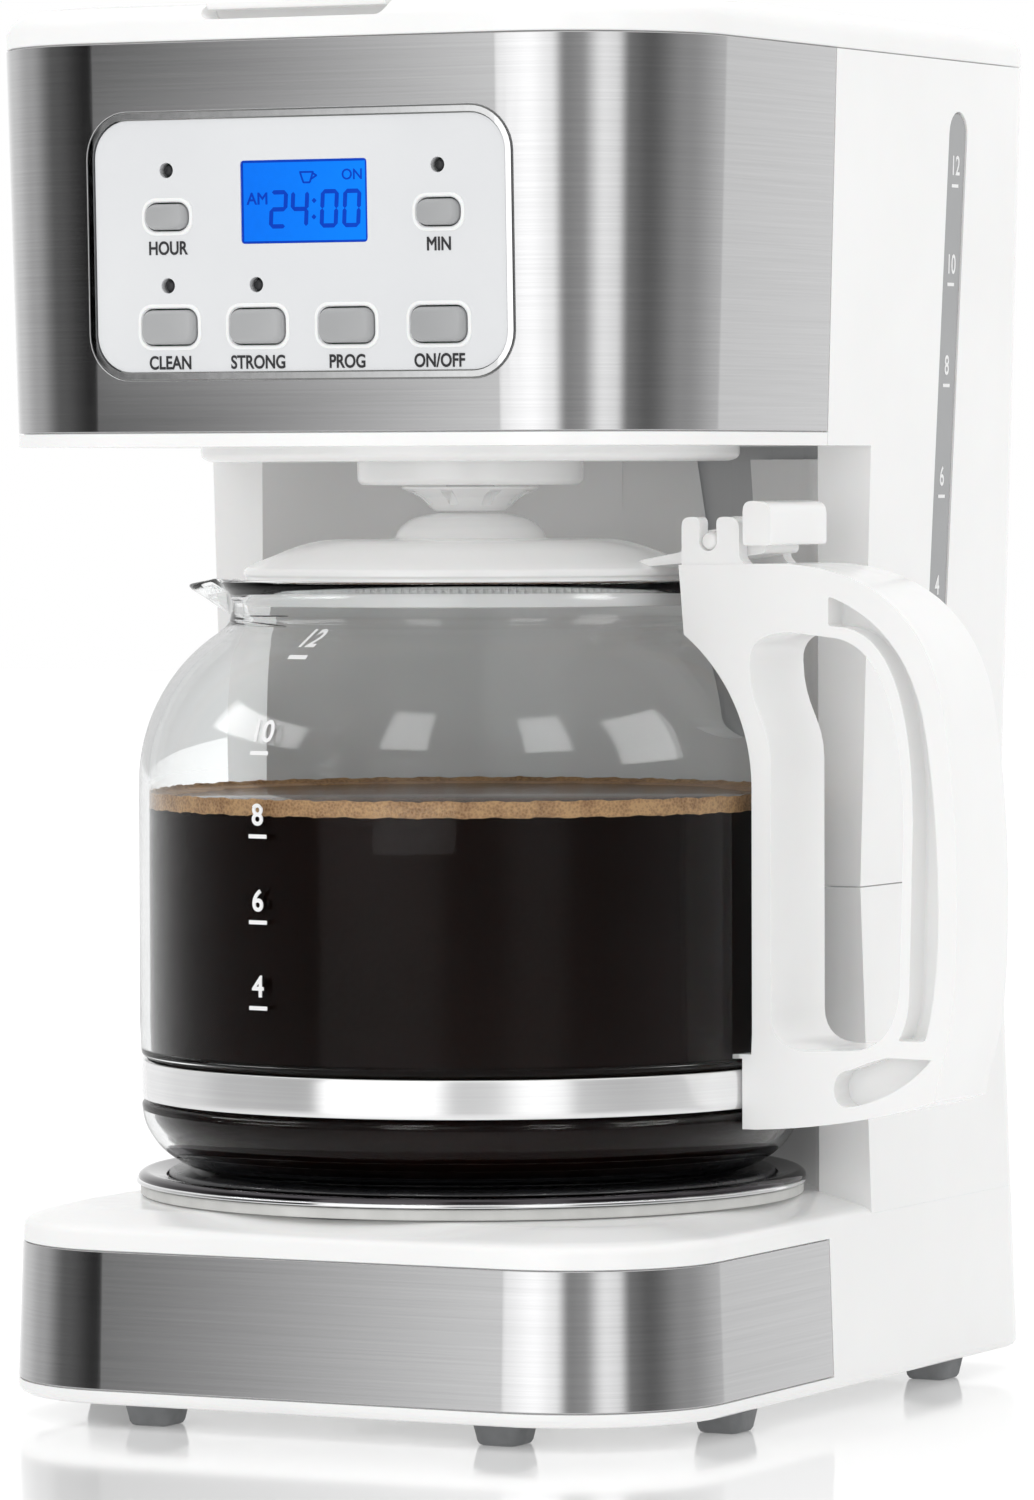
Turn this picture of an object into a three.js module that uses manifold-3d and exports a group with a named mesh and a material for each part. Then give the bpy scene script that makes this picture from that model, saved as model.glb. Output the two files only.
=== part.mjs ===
// A twelve-cup drip coffee maker: housing, water and heating parts, controls, lid, filter basket and carafe.
// Millimetres. +Z is up, the front faces -Y, and the drawing's x = 0 is the housing's plane of symmetry.
import * as THREE from "three";
import { mergeVertices } from "three/addons/utils/BufferGeometryUtils.js";
import Module from "manifold-3d";

const wasm = await Module();
wasm.setup();

// ---------------------------------------------------------------- driving dimensions

const GAP = 0.3; // between pieces that touch
const FAR = 400; // past every edge of the machine

// housing
const WIDTH = 166.4; // at the parting line, where the housing is narrowest
const DEPTH = 201.7;
const PARTING_Z = 119; // joint of the lower and upper housings
const DRAFT_UP = 0.028; // outward growth per millimetre above the parting line
const DRAFT_DOWN = 0.036; // and below it
const FRONT_RADIUS = 33;
const REAR_RADIUS = 8;
const WALL = 3;
const SKIN = 0.9; // sheet steel
const SEAM_Y = -9.9; // rear edge of both steel skins
const COLUMN_FRONT_Y = 14;
const AXIS_Y = -19.5; // carafe, plate and basket axis

// base
const FOOT_SIZE = 12;
const FOOT_HEIGHT = 5.5;
const BASE_TOP_Z = 48.5;
const BASE_EDGE_DROP = 4.5; // height of the sloping edge of the base top
const BASE_EDGE_WIDTH = 13;
const SKIRT = 3.4; // white strip under the base skin
const BASE_WRAP_HEIGHT = 31;
const COVER_THICKNESS = 2.5;

// warming plate
const PLATE_MARGIN = 6.5; // how far the plate stays inside the carafe's radius
const RIM_WIDTH = 6.5;
const RIM_HEIGHT = 5.8;

// carafe
const CARAFE_RADIUS = 76.5;
const GLASS = 2.2;
const BODY_HEIGHT = 124.1; // underside to the start of the neck
const NECK_RADIUS = 55;
const NECK_HEIGHT = 11.3;
const SHOULDER_RADIUS = 41;
const BAND_Z = 16.2; // above the carafe's underside
const BAND_HEIGHT = 9.4;
const BAND_DEPTH = 2.1;
const DOME_RADIUS = 17.4;
const LID_RISE = 9; // plateau of the carafe lid above the rim
const DOME_RISE = 6.3;
const SPOUT_REACH = 15;

// carafe handle
const HANDLE_WIDTH = 29;
const HANDLE_REACH = 130; // outer face, from the carafe axis
const HANDLE_STANDOFF = 2.8; // between glass and handle
const HANDLE_PLATE = 3.5; // upright plate next to the glass
const GRIP_THICKNESS = 15;
const LOOP_HEIGHT = 93.8;
const WEB_HEIGHT = 18.1; // lower arm, from its underside to the finger loop
const EAR_LENGTH = 14.3;
const TAB_LENGTH = 7;
const LID_PIN_X = 67.1;
const LID_PIN_RADIUS = 2;

// brewing parts
const VALVE_HEIGHT = 6;
const DRUM_RADIUS = 26;
const DRUM_HEIGHT = 5.4;
const BASKET_RADIUS = 59;
const BASKET_HEIGHT = 90; // underside of the drum to the rim
const BASKET_WALL = 2;

// head
const STEP_HEIGHT = 3.4;
const STRIP_HEIGHT = 3.2;
const HEAD_WRAP_HEIGHT = 86.8;
const CAP_HEIGHT = 8;
const LID_INSET = 9;
const LID_RAISE = 0.5; // lid top above the cap
const LID_HINGE_Y = 84;
const NOTCH_WIDTH = 46.5;

// control panel
const PANEL_WIDTH = 105.6;
const PANEL_HEIGHT = 59.1;
const PANEL_DROP = 15.9; // from the head's top edge
const PANEL_X = 1.2; // the panel sits a little to the right
const PANEL_RADIUS = 10;
const BEZEL = 1.3;
const LCD_WIDTH = 31.6;
const LCD_HEIGHT = 18.4;
const BUTTON_TRAVEL = 0.8;

// water tank
const TANK_FLOOR_Z = 62;
const TANK_FRONT_Y = 35;
const TANK_WALL = 2;
const HOSE_RADIUS = 4;
const WINDOW_WIDTH = 10.5;
const WINDOW_Y = 59.6; // centre of its round top end
const WINDOW_LEAN = 0.0485;
const WINDOW_BOTTOM_Z = 152;

// ---------------------------------------------------------------- levels that follow from them

const BASE_WRAP_Z = FOOT_HEIGHT + SKIRT;
const PLATE_TOP_Z = BASE_TOP_Z + RIM_HEIGHT;
const PLATE_RADIUS = CARAFE_RADIUS - PLATE_MARGIN;
const CARAFE_Z = PLATE_TOP_Z + GAP;
const NECK_Z = CARAFE_Z + BODY_HEIGHT;
const RIM_Z = NECK_Z + NECK_HEIGHT;
const LID_PLATEAU_Z = RIM_Z + LID_RISE;
const DOME_TOP_Z = LID_PLATEAU_Z + DOME_RISE;
const VALVE_Z = DOME_TOP_Z + GAP;
const DRUM_Z = VALVE_Z + VALVE_HEIGHT;
const STEP_Z = DRUM_Z + DRUM_HEIGHT;
const HEAD_Z = STEP_Z + STEP_HEIGHT;
const HEAD_WRAP_Z = HEAD_Z + STRIP_HEIGHT;
const HEAD_TOP_Z = HEAD_WRAP_Z + HEAD_WRAP_HEIGHT;
const CAP_TOP_Z = HEAD_TOP_Z + GAP + CAP_HEIGHT;
const LID_TOP_Z = CAP_TOP_Z + LID_RAISE;
const HINGE_RADIUS = 4; // round rear edge of the lid
const HINGE_Z = LID_TOP_Z - HINGE_RADIUS;
const BASKET_TOP_Z = DRUM_Z + BASKET_HEIGHT;
const RECESS_RADIUS = CARAFE_RADIUS + 3.5;
const BOWL_RADIUS = BASKET_RADIUS + 4;
const DECK_Z = BASKET_TOP_Z + 1.4;
const TANK_TOP_Z = DECK_Z - 4;
const RISER_Y = AXIS_Y + RECESS_RADIUS + WALL + HOSE_RADIUS + 2;
const RISER_TOP_Z = DECK_Z;

// ---------------------------------------------------------------- solids

// One closed geometry as a manifold-3d solid with its faces pointing out.
function solid(geometry) {
  const source = geometry.index ? geometry.toNonIndexed() : geometry;
  source.deleteAttribute("normal");
  source.deleteAttribute("uv");
  const merged = mergeVertices(source, 1e-4);
  const triangles = [];
  for (let i = 0; i < merged.index.count; i += 3) {
    const [a, b, c] = merged.index.array.slice(i, i + 3);
    if (a !== b && b !== c && c !== a) triangles.push(a, b, c);
  }
  const vertProperties = new Float32Array(merged.attributes.position.array);
  const build = (triVerts) =>
    new wasm.Manifold(new wasm.Mesh({ numProp: 3, vertProperties, triVerts }));
  const made = build(new Uint32Array(triangles));
  return made.volume() < 0 ? build(new Uint32Array(triangles).reverse()) : made;
}

const join = (...solids) => solids.reduce((a, b) => a.add(b));
const cut = (from, ...tools) => tools.reduce((a, b) => a.subtract(b), from);
const common = (...solids) => solids.reduce((a, b) => a.intersect(b));

function block(x0, x1, y0, y1, z0, z1) {
  const box = new THREE.BoxGeometry(x1 - x0, y1 - y0, z1 - z0);
  return solid(box.translate((x0 + x1) / 2, (y0 + y1) / 2, (z0 + z1) / 2));
}

// A round bar along Z from z0 to z1, standing at (x, y).
function post(radius, z0, z1, { x = 0, y = AXIS_Y, sides = 24, top = radius } = {}) {
  const bar = new THREE.CylinderGeometry(top, radius, z1 - z0, sides);
  return solid(bar.rotateX(Math.PI / 2).translate(x, y, (z0 + z1) / 2));
}

function barX(radius, x0, x1, y, z, sides = 12) {
  const bar = new THREE.CylinderGeometry(radius, radius, x1 - x0, sides);
  return solid(bar.rotateZ(Math.PI / 2).translate((x0 + x1) / 2, y, z));
}

function barY(radius, y0, y1, x, z, sides = 12) {
  const bar = new THREE.CylinderGeometry(radius, radius, y1 - y0, sides);
  return solid(bar.translate(x, (y0 + y1) / 2, z));
}

// A profile of [radius, z] pairs turned about the vertical line at (x, y).
function turned(profile, { x = 0, y = AXIS_Y, sides = 28 } = {}) {
  const closed = [...profile];
  const [first, last] = [profile[0], profile[profile.length - 1]];
  if (first[0] > 0 || last[0] > 0) closed.push(first);
  const points = closed.map(([r, z]) => new THREE.Vector2(r, z));
  return solid(new THREE.LatheGeometry(points, sides).rotateX(Math.PI / 2).translate(x, y, 0));
}

function extruded(shape, depth, curveSegments = 3) {
  return new THREE.ExtrudeGeometry(shape, { depth, bevelEnabled: false, curveSegments });
}

// A shape drawn in x and z, filled from y0 to y1.
function prismY(shape, y0, y1, curveSegments) {
  return solid(extruded(shape, y1 - y0, curveSegments).rotateX(Math.PI / 2).translate(0, y1, 0));
}

// A shape drawn in y and z, filled from x0 to x1.
function prismX(shape, x0, x1, curveSegments) {
  const turn = new THREE.Matrix4().makeBasis(
    new THREE.Vector3(0, 1, 0),
    new THREE.Vector3(0, 0, 1),
    new THREE.Vector3(1, 0, 0),
  );
  return solid(extruded(shape, x1 - x0, curveSegments).applyMatrix4(turn).translate(x0, 0, 0));
}

function roundRect(width, height, radius, cx = 0, cy = 0) {
  const [x, y] = [width / 2, height / 2];
  const shape = new THREE.Shape();
  shape.absarc(cx + x - radius, cy + y - radius, radius, 0, Math.PI / 2);
  shape.absarc(cx - x + radius, cy + y - radius, radius, Math.PI / 2, Math.PI);
  shape.absarc(cx - x + radius, cy - y + radius, radius, Math.PI, 1.5 * Math.PI);
  shape.absarc(cx + x - radius, cy - y + radius, radius, 1.5 * Math.PI, 2 * Math.PI);
  shape.closePath();
  return shape;
}

function polygon(points) {
  return new THREE.Shape(points.map(([x, y]) => new THREE.Vector2(x, y)));
}

// Rings of equal length, each at its own z, skinned into one closed solid.
function loft(levels) {
  const count = levels[0].ring.length;
  const vertices = levels.flatMap(({ ring, z }) => ring.flatMap(({ x, y }) => [x, y, z]));
  const faces = [];
  for (let level = 0; level + 1 < levels.length; level++) {
    for (let i = 0; i < count; i++) {
      const [a, b] = [level * count + i, level * count + ((i + 1) % count)];
      faces.push(a, b, b + count, a, b + count, a + count);
    }
  }
  const top = (levels.length - 1) * count;
  for (const [a, b, c] of THREE.ShapeUtils.triangulateShape(levels[0].ring, []))
    faces.push(c, b, a);
  for (const [a, b, c] of THREE.ShapeUtils.triangulateShape(levels[levels.length - 1].ring, []))
    faces.push(top + a, top + b, top + c);
  const geometry = new THREE.BufferGeometry();
  geometry.setAttribute("position", new THREE.Float32BufferAttribute(vertices, 3));
  return solid(geometry.setIndex(faces));
}

// A round-sided tube of an outer and an inner radius along a smooth curve through the points.
function hose(points, radius, bore, steps, sides = 8) {
  const path = new THREE.CatmullRomCurve3(points.map(([x, y, z]) => new THREE.Vector3(x, y, z)));
  const section = ringShape(radius, bore, sides);
  return solid(new THREE.ExtrudeGeometry(section, { extrudePath: path, steps, bevelEnabled: false }));
}

function ringShape(radius, bore, sides) {
  const circle = (r) =>
    Array.from({ length: sides }, (_, i) => {
      const angle = (2 * Math.PI * i) / sides;
      return new THREE.Vector2(r * Math.cos(angle), r * Math.sin(angle));
    });
  const shape = new THREE.Shape(circle(radius));
  if (bore > 0) shape.holes.push(new THREE.Path(circle(bore).reverse()));
  return shape;
}

// ---------------------------------------------------------------- the housing's drafted outline

const draft = (z) => (z > PARTING_Z ? DRAFT_UP * (z - PARTING_Z) : DRAFT_DOWN * (PARTING_Z - z));
const halfWidth = (z) => WIDTH / 2 + draft(z);
const halfDepth = (z) => DEPTH / 2 + draft(z);

// The outline at height z, moved in by inset, counter-clockwise from the rear right corner.
function outline(z, inset) {
  const grow = draft(z) - inset;
  const [x, y] = [WIDTH / 2 + grow, DEPTH / 2 + grow];
  const corners = [
    [1, 1, REAR_RADIUS, 2],
    [-1, 1, REAR_RADIUS, 2],
    [-1, -1, FRONT_RADIUS, 6],
    [1, -1, FRONT_RADIUS, 6],
  ];
  return corners.flatMap(([sx, sy, nominal, steps], corner) => {
    const radius = Math.max(nominal + grow, 1);
    return Array.from({ length: steps + 1 }, (_, i) => {
      const angle = ((corner + i / steps) * Math.PI) / 2;
      return new THREE.Vector2(
        sx * (x - radius) + radius * Math.cos(angle),
        sy * (y - radius) + radius * Math.sin(angle),
      );
    });
  });
}

// The outline filled through [z, inset] levels.
const bodyLoft = (levels) => loft(levels.map(([z, inset]) => ({ z, ring: outline(z, inset) })));

function bodySolid(z0, z1, inset) {
  const levels = [[z0, inset], [z1, inset]];
  if (z0 < PARTING_Z && z1 > PARTING_Z) levels.splice(1, 0, [PARTING_Z, inset]);
  return bodyLoft(levels);
}

const bodyShell = (z0, z1, outer, inner) =>
  cut(bodySolid(z0, z1, outer), bodySolid(z0 - 1, z1 + 1, inner));

const front = (y) => block(-FAR, FAR, -FAR, y, -FAR, FAR);
const rear = (y) => block(-FAR, FAR, y, FAR, -FAR, FAR);

// ---------------------------------------------------------------- base and column

const FEET = [
  [halfWidth(0) - 43.5, -halfDepth(0) + 15],
  [halfWidth(0) - 9.5, -halfDepth(0) + 57],
  [halfWidth(0) - 10.5, halfDepth(0) - 36],
].flatMap(([x, y]) => [[x, y], [-x, y]]);
const FOOT_STUD = 2.4;

function foot([x, y]) {
  const pad = (size, z) => ({
    z,
    ring: roundRect(size, size, 2, x, y).getPoints(2).slice(0, -1),
  });
  const top = FOOT_HEIGHT - GAP;
  const body = loft([pad(FOOT_SIZE - 3, 0), pad(FOOT_SIZE - 1.6, 1), pad(FOOT_SIZE, top)]);
  return join(body, post(FOOT_STUD, top - 1, FOOT_HEIGHT + COVER_THICKNESS, { x, y, sides: 10 }));
}

const recess = (radius, z0, z1) => post(radius, z0, z1, { sides: 36 });
const GLAND_X = -WIDTH / 2 + 33;
const GLAND_Z = FOOT_HEIGHT + 18;

function lowerHousing() {
  const edge = BASE_TOP_Z - BASE_EDGE_DROP;
  const base = bodyLoft([
    [FOOT_HEIGHT, 1.5],
    [FOOT_HEIGHT + 1.5, 0],
    [edge, 0],
    [edge + 1.6, 1.6],
    [BASE_TOP_Z, BASE_EDGE_WIDTH],
  ]);
  const column = cut(
    common(bodySolid(edge, PARTING_Z - GAP / 2, 0), rear(COLUMN_FRONT_Y)),
    recess(RECESS_RADIUS, BASE_TOP_Z, FAR),
  );
  const under = SKIN + GAP + WALL;
  const baseHollow = bodyLoft([
    [FOOT_HEIGHT - 1, under],
    [edge - WALL, under],
    [BASE_TOP_Z - WALL, BASE_EDGE_WIDTH + WALL],
  ]);
  const columnHollow = cut(
    common(bodySolid(edge - WALL - 1, PARTING_Z + 1, WALL), rear(COLUMN_FRONT_Y + WALL)),
    recess(RECESS_RADIUS + WALL, 0, FAR),
  );
  const skinSeat = common(
    bodyShell(BASE_WRAP_Z - GAP, BASE_WRAP_Z + BASE_WRAP_HEIGHT + GAP, -WALL, SKIN + GAP),
    front(SEAM_Y + GAP),
  );
  return cut(
    join(base, column),
    baseHollow,
    columnHollow,
    skinSeat,
    post(PLATE_RADIUS + 2, BASE_TOP_Z - 10, BASE_TOP_Z + 10, { sides: 28 }),
    barY(6 + GAP, halfDepth(0) - 20, FAR, GLAND_X, GLAND_Z, 16),
  );
}

function bottomCover() {
  const [z0, z1] = [FOOT_HEIGHT + GAP, FOOT_HEIGHT + GAP + COVER_THICKNESS];
  const plate = bodySolid(z0, z1, SKIN + 2 * GAP + WALL);
  const studs = FEET.map(([x, y]) => post(FOOT_STUD + GAP, z0 - 1, z1 + 1, { x, y, sides: 10 }));
  const vents = Array.from({ length: 5 }, (_, i) => {
    const y = AXIS_Y + 10 * (i - 2);
    return block(-20, 20, y - 1.5, y + 1.5, z0 - 1, z1 + 1);
  });
  return cut(plate, ...studs, ...vents);
}

const baseWrap = () =>
  common(bodyShell(BASE_WRAP_Z, BASE_WRAP_Z + BASE_WRAP_HEIGHT, 0, SKIN), front(SEAM_Y));

function cordGland() {
  const face = halfDepth(GLAND_Z);
  return cut(
    join(
      barY(6, face - WALL - 4, face, GLAND_X, GLAND_Z, 16),
      barY(9, face + 0.7, face + 1.5, GLAND_X, GLAND_Z, 16),
      barY(5, face - 1, face + 1, GLAND_X, GLAND_Z, 16),
    ),
    barY(3.2, face - 20, face + 20, GLAND_X, GLAND_Z, 10),
  );
}

// ---------------------------------------------------------------- warming plate and heater

function warmingPlate() {
  const r = PLATE_RADIUS;
  const z = PLATE_TOP_Z;
  return turned([[0, z - 2], [r - 4, z - 2], [r - 3, z - 5], [r, z - 5], [r, z - 0.8], [r - 0.8, z], [0, z]]);
}

function plateSeal() {
  const [r0, r1] = [PLATE_RADIUS + 0.5, PLATE_RADIUS + RIM_WIDTH];
  const [z0, z1] = [BASE_TOP_Z + GAP, BASE_TOP_Z + RIM_HEIGHT / 2 - GAP / 2];
  return turned([[r0, z0], [r1, z0], [r1, z1], [r0, z1]]);
}

function trimRing() {
  const [r0, r1] = [PLATE_RADIUS + 0.5, PLATE_RADIUS + RIM_WIDTH + 0.5];
  const [z0, z1] = [BASE_TOP_Z + RIM_HEIGHT / 2 + GAP / 2, PLATE_TOP_Z];
  return turned([[r0, z0], [r1, z0], [r1, z1 - 1.2], [r1 - 1, z1 - 0.2], [r1 - 2.5, z1], [r0, z1 - 0.5]]);
}

const ELEMENT_RADIUS = 44;
const ELEMENT_TUBE = 4.5;
const ELEMENT_OPEN = THREE.MathUtils.degToRad(25); // half the gap at the back of the horseshoe
const ELEMENT_END = { x: ELEMENT_RADIUS * Math.sin(ELEMENT_OPEN), y: AXIS_Y + 56, z: 36 };

function heatingElement() {
  const z = PLATE_TOP_Z - 2 - 3 * GAP - ELEMENT_TUBE;
  const sweep = 2 * (Math.PI - ELEMENT_OPEN);
  const arc = Array.from({ length: 13 }, (_, i) => {
    const angle = Math.PI / 2 + ELEMENT_OPEN + (sweep * i) / 12;
    return [ELEMENT_RADIUS * Math.cos(angle), AXIS_Y + ELEMENT_RADIUS * Math.sin(angle), z];
  });
  const { x, y, z: low } = ELEMENT_END;
  const route = [[-x, y, low], [-x, y - 7, low + 4], ...arc, [x, y - 7, low + 4], [x, y, low]];
  return hose(route, ELEMENT_TUBE, 0, 34, 6);
}

const thermostat = () =>
  join(
    post(11, PLATE_TOP_Z - 6, PLATE_TOP_Z - 2 - GAP, { sides: 20 }),
    post(8, PLATE_TOP_Z - 14, PLATE_TOP_Z - 5, { sides: 20 }),
  );

const thermalFuse = () => barX(2.5, -9, 9, AXIS_Y + 22, PLATE_TOP_Z - 5.5, 10);

// ---------------------------------------------------------------- water path

const OUTLET = { x: 40, y: 78 };

function tankBody(inset, wall, z0, z1) {
  const upper = HEAD_Z + 4;
  return cut(
    common(bodySolid(z0, z1, inset), rear(TANK_FRONT_Y + wall)),
    recess(RECESS_RADIUS + WALL + 2 + wall, 0, upper + wall),
    recess(BOWL_RADIUS + 7 + wall, upper, FAR),
    block(-HOSE_RADIUS - 3 - wall, HOSE_RADIUS + 3 + wall, 0, RISER_Y + HOSE_RADIUS + 2 + wall, 0, FAR),
  );
}

function waterTank() {
  const { x, y } = OUTLET;
  return cut(
    join(
      tankBody(WALL + 1, 0, TANK_FLOOR_Z, TANK_TOP_Z),
      post(5.5, TANK_FLOOR_Z - 5, TANK_FLOOR_Z + 1, { x, y, sides: 12 }),
    ),
    tankBody(WALL + 1 + TANK_WALL, TANK_WALL, TANK_FLOOR_Z + TANK_WALL, TANK_TOP_Z + 5),
    post(3.5, 0, TANK_FLOOR_Z + 10, { x, y, sides: 12 }),
  );
}

function tankScreen() {
  const z = TANK_FLOOR_Z + TANK_WALL + GAP;
  const { x, y } = OUTLET;
  const holes = [-3, 0, 3].map((step) => block(x - 5, x + 5, y + step - 0.6, y + step + 0.6, 0, FAR));
  return cut(post(8, z, z + 1, { x, y, sides: 16 }), ...holes);
}

const checkValve = () =>
  join(
    post(6.5, TANK_FLOOR_Z - 13, TANK_FLOOR_Z - 5 - GAP, { ...OUTLET, sides: 16 }),
    post(3.8, TANK_FLOOR_Z - 17, TANK_FLOOR_Z - 12, { ...OUTLET, sides: 12 }),
  );

function inletHose() {
  const { x, y, z } = ELEMENT_END;
  const end = TANK_FLOOR_Z - 17 - 2 * GAP;
  return hose(
    [
      [x, y + 3, z - 1],
      [x + 5, y + 16, 30],
      [x + 14, y + 32, 28],
      [OUTLET.x, OUTLET.y - 1, 34],
      [OUTLET.x, OUTLET.y, end],
    ],
    HOSE_RADIUS, 2.4, 13, 6,
  );
}

function riserHose() {
  const { x, y, z } = ELEMENT_END;
  const bend = [[-x, y + 3, z - 1], [-x + 4, y + 14, 30], [-6, RISER_Y - 8, 31], [0, RISER_Y, 44]];
  const straight = [70, 150, RISER_TOP_Z].map((z) => [0, RISER_Y, z]);
  return hose([...bend, ...straight], HOSE_RADIUS, 2.4, 22, 6);
}

function powerBoard() {
  const [x, y, z] = [-halfWidth(0) + 34, halfDepth(0) - 58, FOOT_HEIGHT + 9];
  return join(
    block(x - 22, x + 22, y - 24, y + 24, z, z + 1.6),
    block(x - 18, x - 2, y - 18, y + 2, z + 1, z + 15),
    block(x + 3, x + 15, y + 6, y + 20, z + 1, z + 12),
    post(5, z + 1, z + 13, { x: x + 10, y: y - 10, sides: 12 }),
  );
}

// ---------------------------------------------------------------- upper housing, window, head and cap

// The level window's outline in y and z, grown by a clearance, leaning as the strip does.
function windowShape(grow) {
  const top = HEAD_TOP_Z - 12;
  const half = WINDOW_WIDTH / 2;
  const [low, high] = [WINDOW_BOTTOM_Z + half, top - half];
  const centre = (z) => WINDOW_Y - (high - z) * WINDOW_LEAN;
  const radius = half + grow;
  const tilt = Math.atan(WINDOW_LEAN);
  const shape = new THREE.Shape();
  shape.absarc(centre(high), high, radius, -tilt, Math.PI - tilt);
  shape.absarc(centre(low), low, radius, Math.PI - tilt, 2 * Math.PI - tilt);
  shape.closePath();
  return shape;
}

const tankWindow = () =>
  common(bodyShell(WINDOW_BOTTOM_Z - 10, HEAD_TOP_Z, 0.35, WALL), prismX(windowShape(-GAP), 0, FAR));

function upperHousing() {
  const head = common(bodySolid(HEAD_Z, HEAD_TOP_Z - GAP, 0), rear(SEAM_Y));
  const column = common(bodySolid(PARTING_Z + GAP / 2, HEAD_Z + 1, 0), rear(COLUMN_FRONT_Y));
  const columnHollow = cut(
    common(bodySolid(PARTING_Z - 1, FAR, WALL), rear(COLUMN_FRONT_Y + WALL)),
    recess(RECESS_RADIUS + WALL, 0, STEP_Z + GAP),
  );
  return cut(
    join(head, column),
    recess(RECESS_RADIUS, 0, FAR),
    columnHollow,
    common(bodySolid(HEAD_WRAP_Z, FAR, WALL), rear(SEAM_Y - 5)),
    prismX(windowShape(0), 0, FAR),
  );
}

const panelZ = HEAD_TOP_Z - PANEL_DROP - PANEL_HEIGHT / 2;
const panelShape = (grow) =>
  roundRect(PANEL_WIDTH + 2 * grow, PANEL_HEIGHT + 2 * grow, PANEL_RADIUS + grow, PANEL_X, panelZ);
const throughFront = (shape, curveSegments) => prismY(shape, -FAR, AXIS_Y, curveSegments);

function brewBowl(grow) {
  return turned([
    [0, HEAD_Z + 3 - grow],
    [DRUM_RADIUS + 3 + grow, HEAD_Z + 3 - grow],
    [BASKET_RADIUS - 1 + grow, HEAD_Z + 15 - grow],
    [BOWL_RADIUS + grow, DECK_Z + 2.5],
    [0, DECK_Z + 2.5],
  ]);
}

function headShell() {
  const behindSkin = SKIN + GAP;
  const floor = join(
    common(bodySolid(HEAD_Z, HEAD_WRAP_Z - GAP, 0), front(SEAM_Y - GAP)),
    recess(RECESS_RADIUS - GAP, HEAD_Z, HEAD_WRAP_Z - GAP),
    post(BASKET_RADIUS + 3, STEP_Z, HEAD_Z + 1, { sides: 28 }),
  );
  const wall = common(
    bodyShell(HEAD_Z, HEAD_TOP_Z - GAP, behindSkin, behindSkin + 2.5),
    front(SEAM_Y - GAP),
  );
  const deck = common(bodySolid(DECK_Z, DECK_Z + 2.5, WALL + 1), front(TANK_FRONT_Y + 8));
  return cut(
    join(floor, wall, deck, brewBowl(2.2)),
    brewBowl(0),
    post(DRUM_RADIUS + 1, 0, FAR, { sides: 28 }),
    recess(BOWL_RADIUS, DECK_Z, FAR),
    throughFront(panelShape(GAP)),
    block(-FAR, FAR, -FAR, FAR, HEAD_TOP_Z - GAP, FAR),
  );
}

const headWrap = () =>
  cut(
    common(bodyShell(HEAD_WRAP_Z, HEAD_TOP_Z - GAP, 0, SKIN), front(SEAM_Y - GAP)),
    throughFront(panelShape(GAP)),
  );

// The lid's outline in plan: the housing's outline moved in, ending in the hinge's round edge.
const lidPlan = (z0, z1, inset) =>
  common(bodyLoft([[z0, inset], [z1, inset]]), front(LID_HINGE_Y));
const hingeRound = (grow, x0, x1) => barX(HINGE_RADIUS + grow, x0, x1, LID_HINGE_Y, HINGE_Z, 16);
const lidHalf = halfWidth(HINGE_Z) - LID_INSET;
const PIN_RADIUS = 1.6;
const PIN_LENGTH = 12;
const notchLow = CAP_TOP_Z - 3.6;

function topCap() {
  const z0 = HEAD_TOP_Z;
  const body = bodyLoft([[z0, 0], [z0 + 4, 0.3], [z0 + 6.4, 1.6], [CAP_TOP_Z, 4.5]]);
  const opening = join(
    lidPlan(z0 - 1, FAR, LID_INSET - GAP),
    block(-lidHalf - GAP, lidHalf + GAP, LID_HINGE_Y - 5, LID_HINGE_Y + HINGE_RADIUS + GAP, 0, FAR),
  );
  const notch = block(-NOTCH_WIDTH / 2, NOTCH_WIDTH / 2, -FAR, -DEPTH / 2 + 10, notchLow, FAR);
  const pins = [-1, 1].map((side) => {
    const ends = [side * (lidHalf - PIN_LENGTH / 2 - GAP), side * (lidHalf + PIN_LENGTH / 2 + GAP)];
    return barX(PIN_RADIUS + GAP / 2, Math.min(...ends), Math.max(...ends), LID_HINGE_Y, HINGE_Z);
  });
  return cut(body, opening, notch, ...pins);
}

function lid() {
  const low = HINGE_Z - HINGE_RADIUS;
  const plate = common(
    bodyLoft([[low, LID_INSET], [LID_TOP_Z - 0.8, LID_INSET], [LID_TOP_Z, LID_INSET + 2.5]]),
    front(LID_HINGE_Y),
  );
  const tongue = block(
    -NOTCH_WIDTH / 2 + 1, NOTCH_WIDTH / 2 - 1, -halfDepth(LID_TOP_Z) + 3, -DEPTH / 2 + 12, LID_TOP_Z - 2, LID_TOP_Z,
  );
  const pocket = lidPlan(low - 1, LID_TOP_Z - 2.5, LID_INSET + 2.5);
  const barrel = hingeRound(0, -lidHalf, lidHalf);
  const pins = [-1, 1].map((side) => {
    const ends = [side * (lidHalf - PIN_LENGTH / 2 - GAP), side * (lidHalf + 1)];
    return barX(PIN_RADIUS + GAP / 2, Math.min(...ends), Math.max(...ends), LID_HINGE_Y, HINGE_Z);
  });
  return cut(join(cut(plate, pocket), tongue, barrel), ...pins);
}

function hingePin(side) {
  const centre = side * lidHalf;
  return barX(PIN_RADIUS, centre - PIN_LENGTH / 2, centre + PIN_LENGTH / 2, LID_HINGE_Y, HINGE_Z);
}

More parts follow.
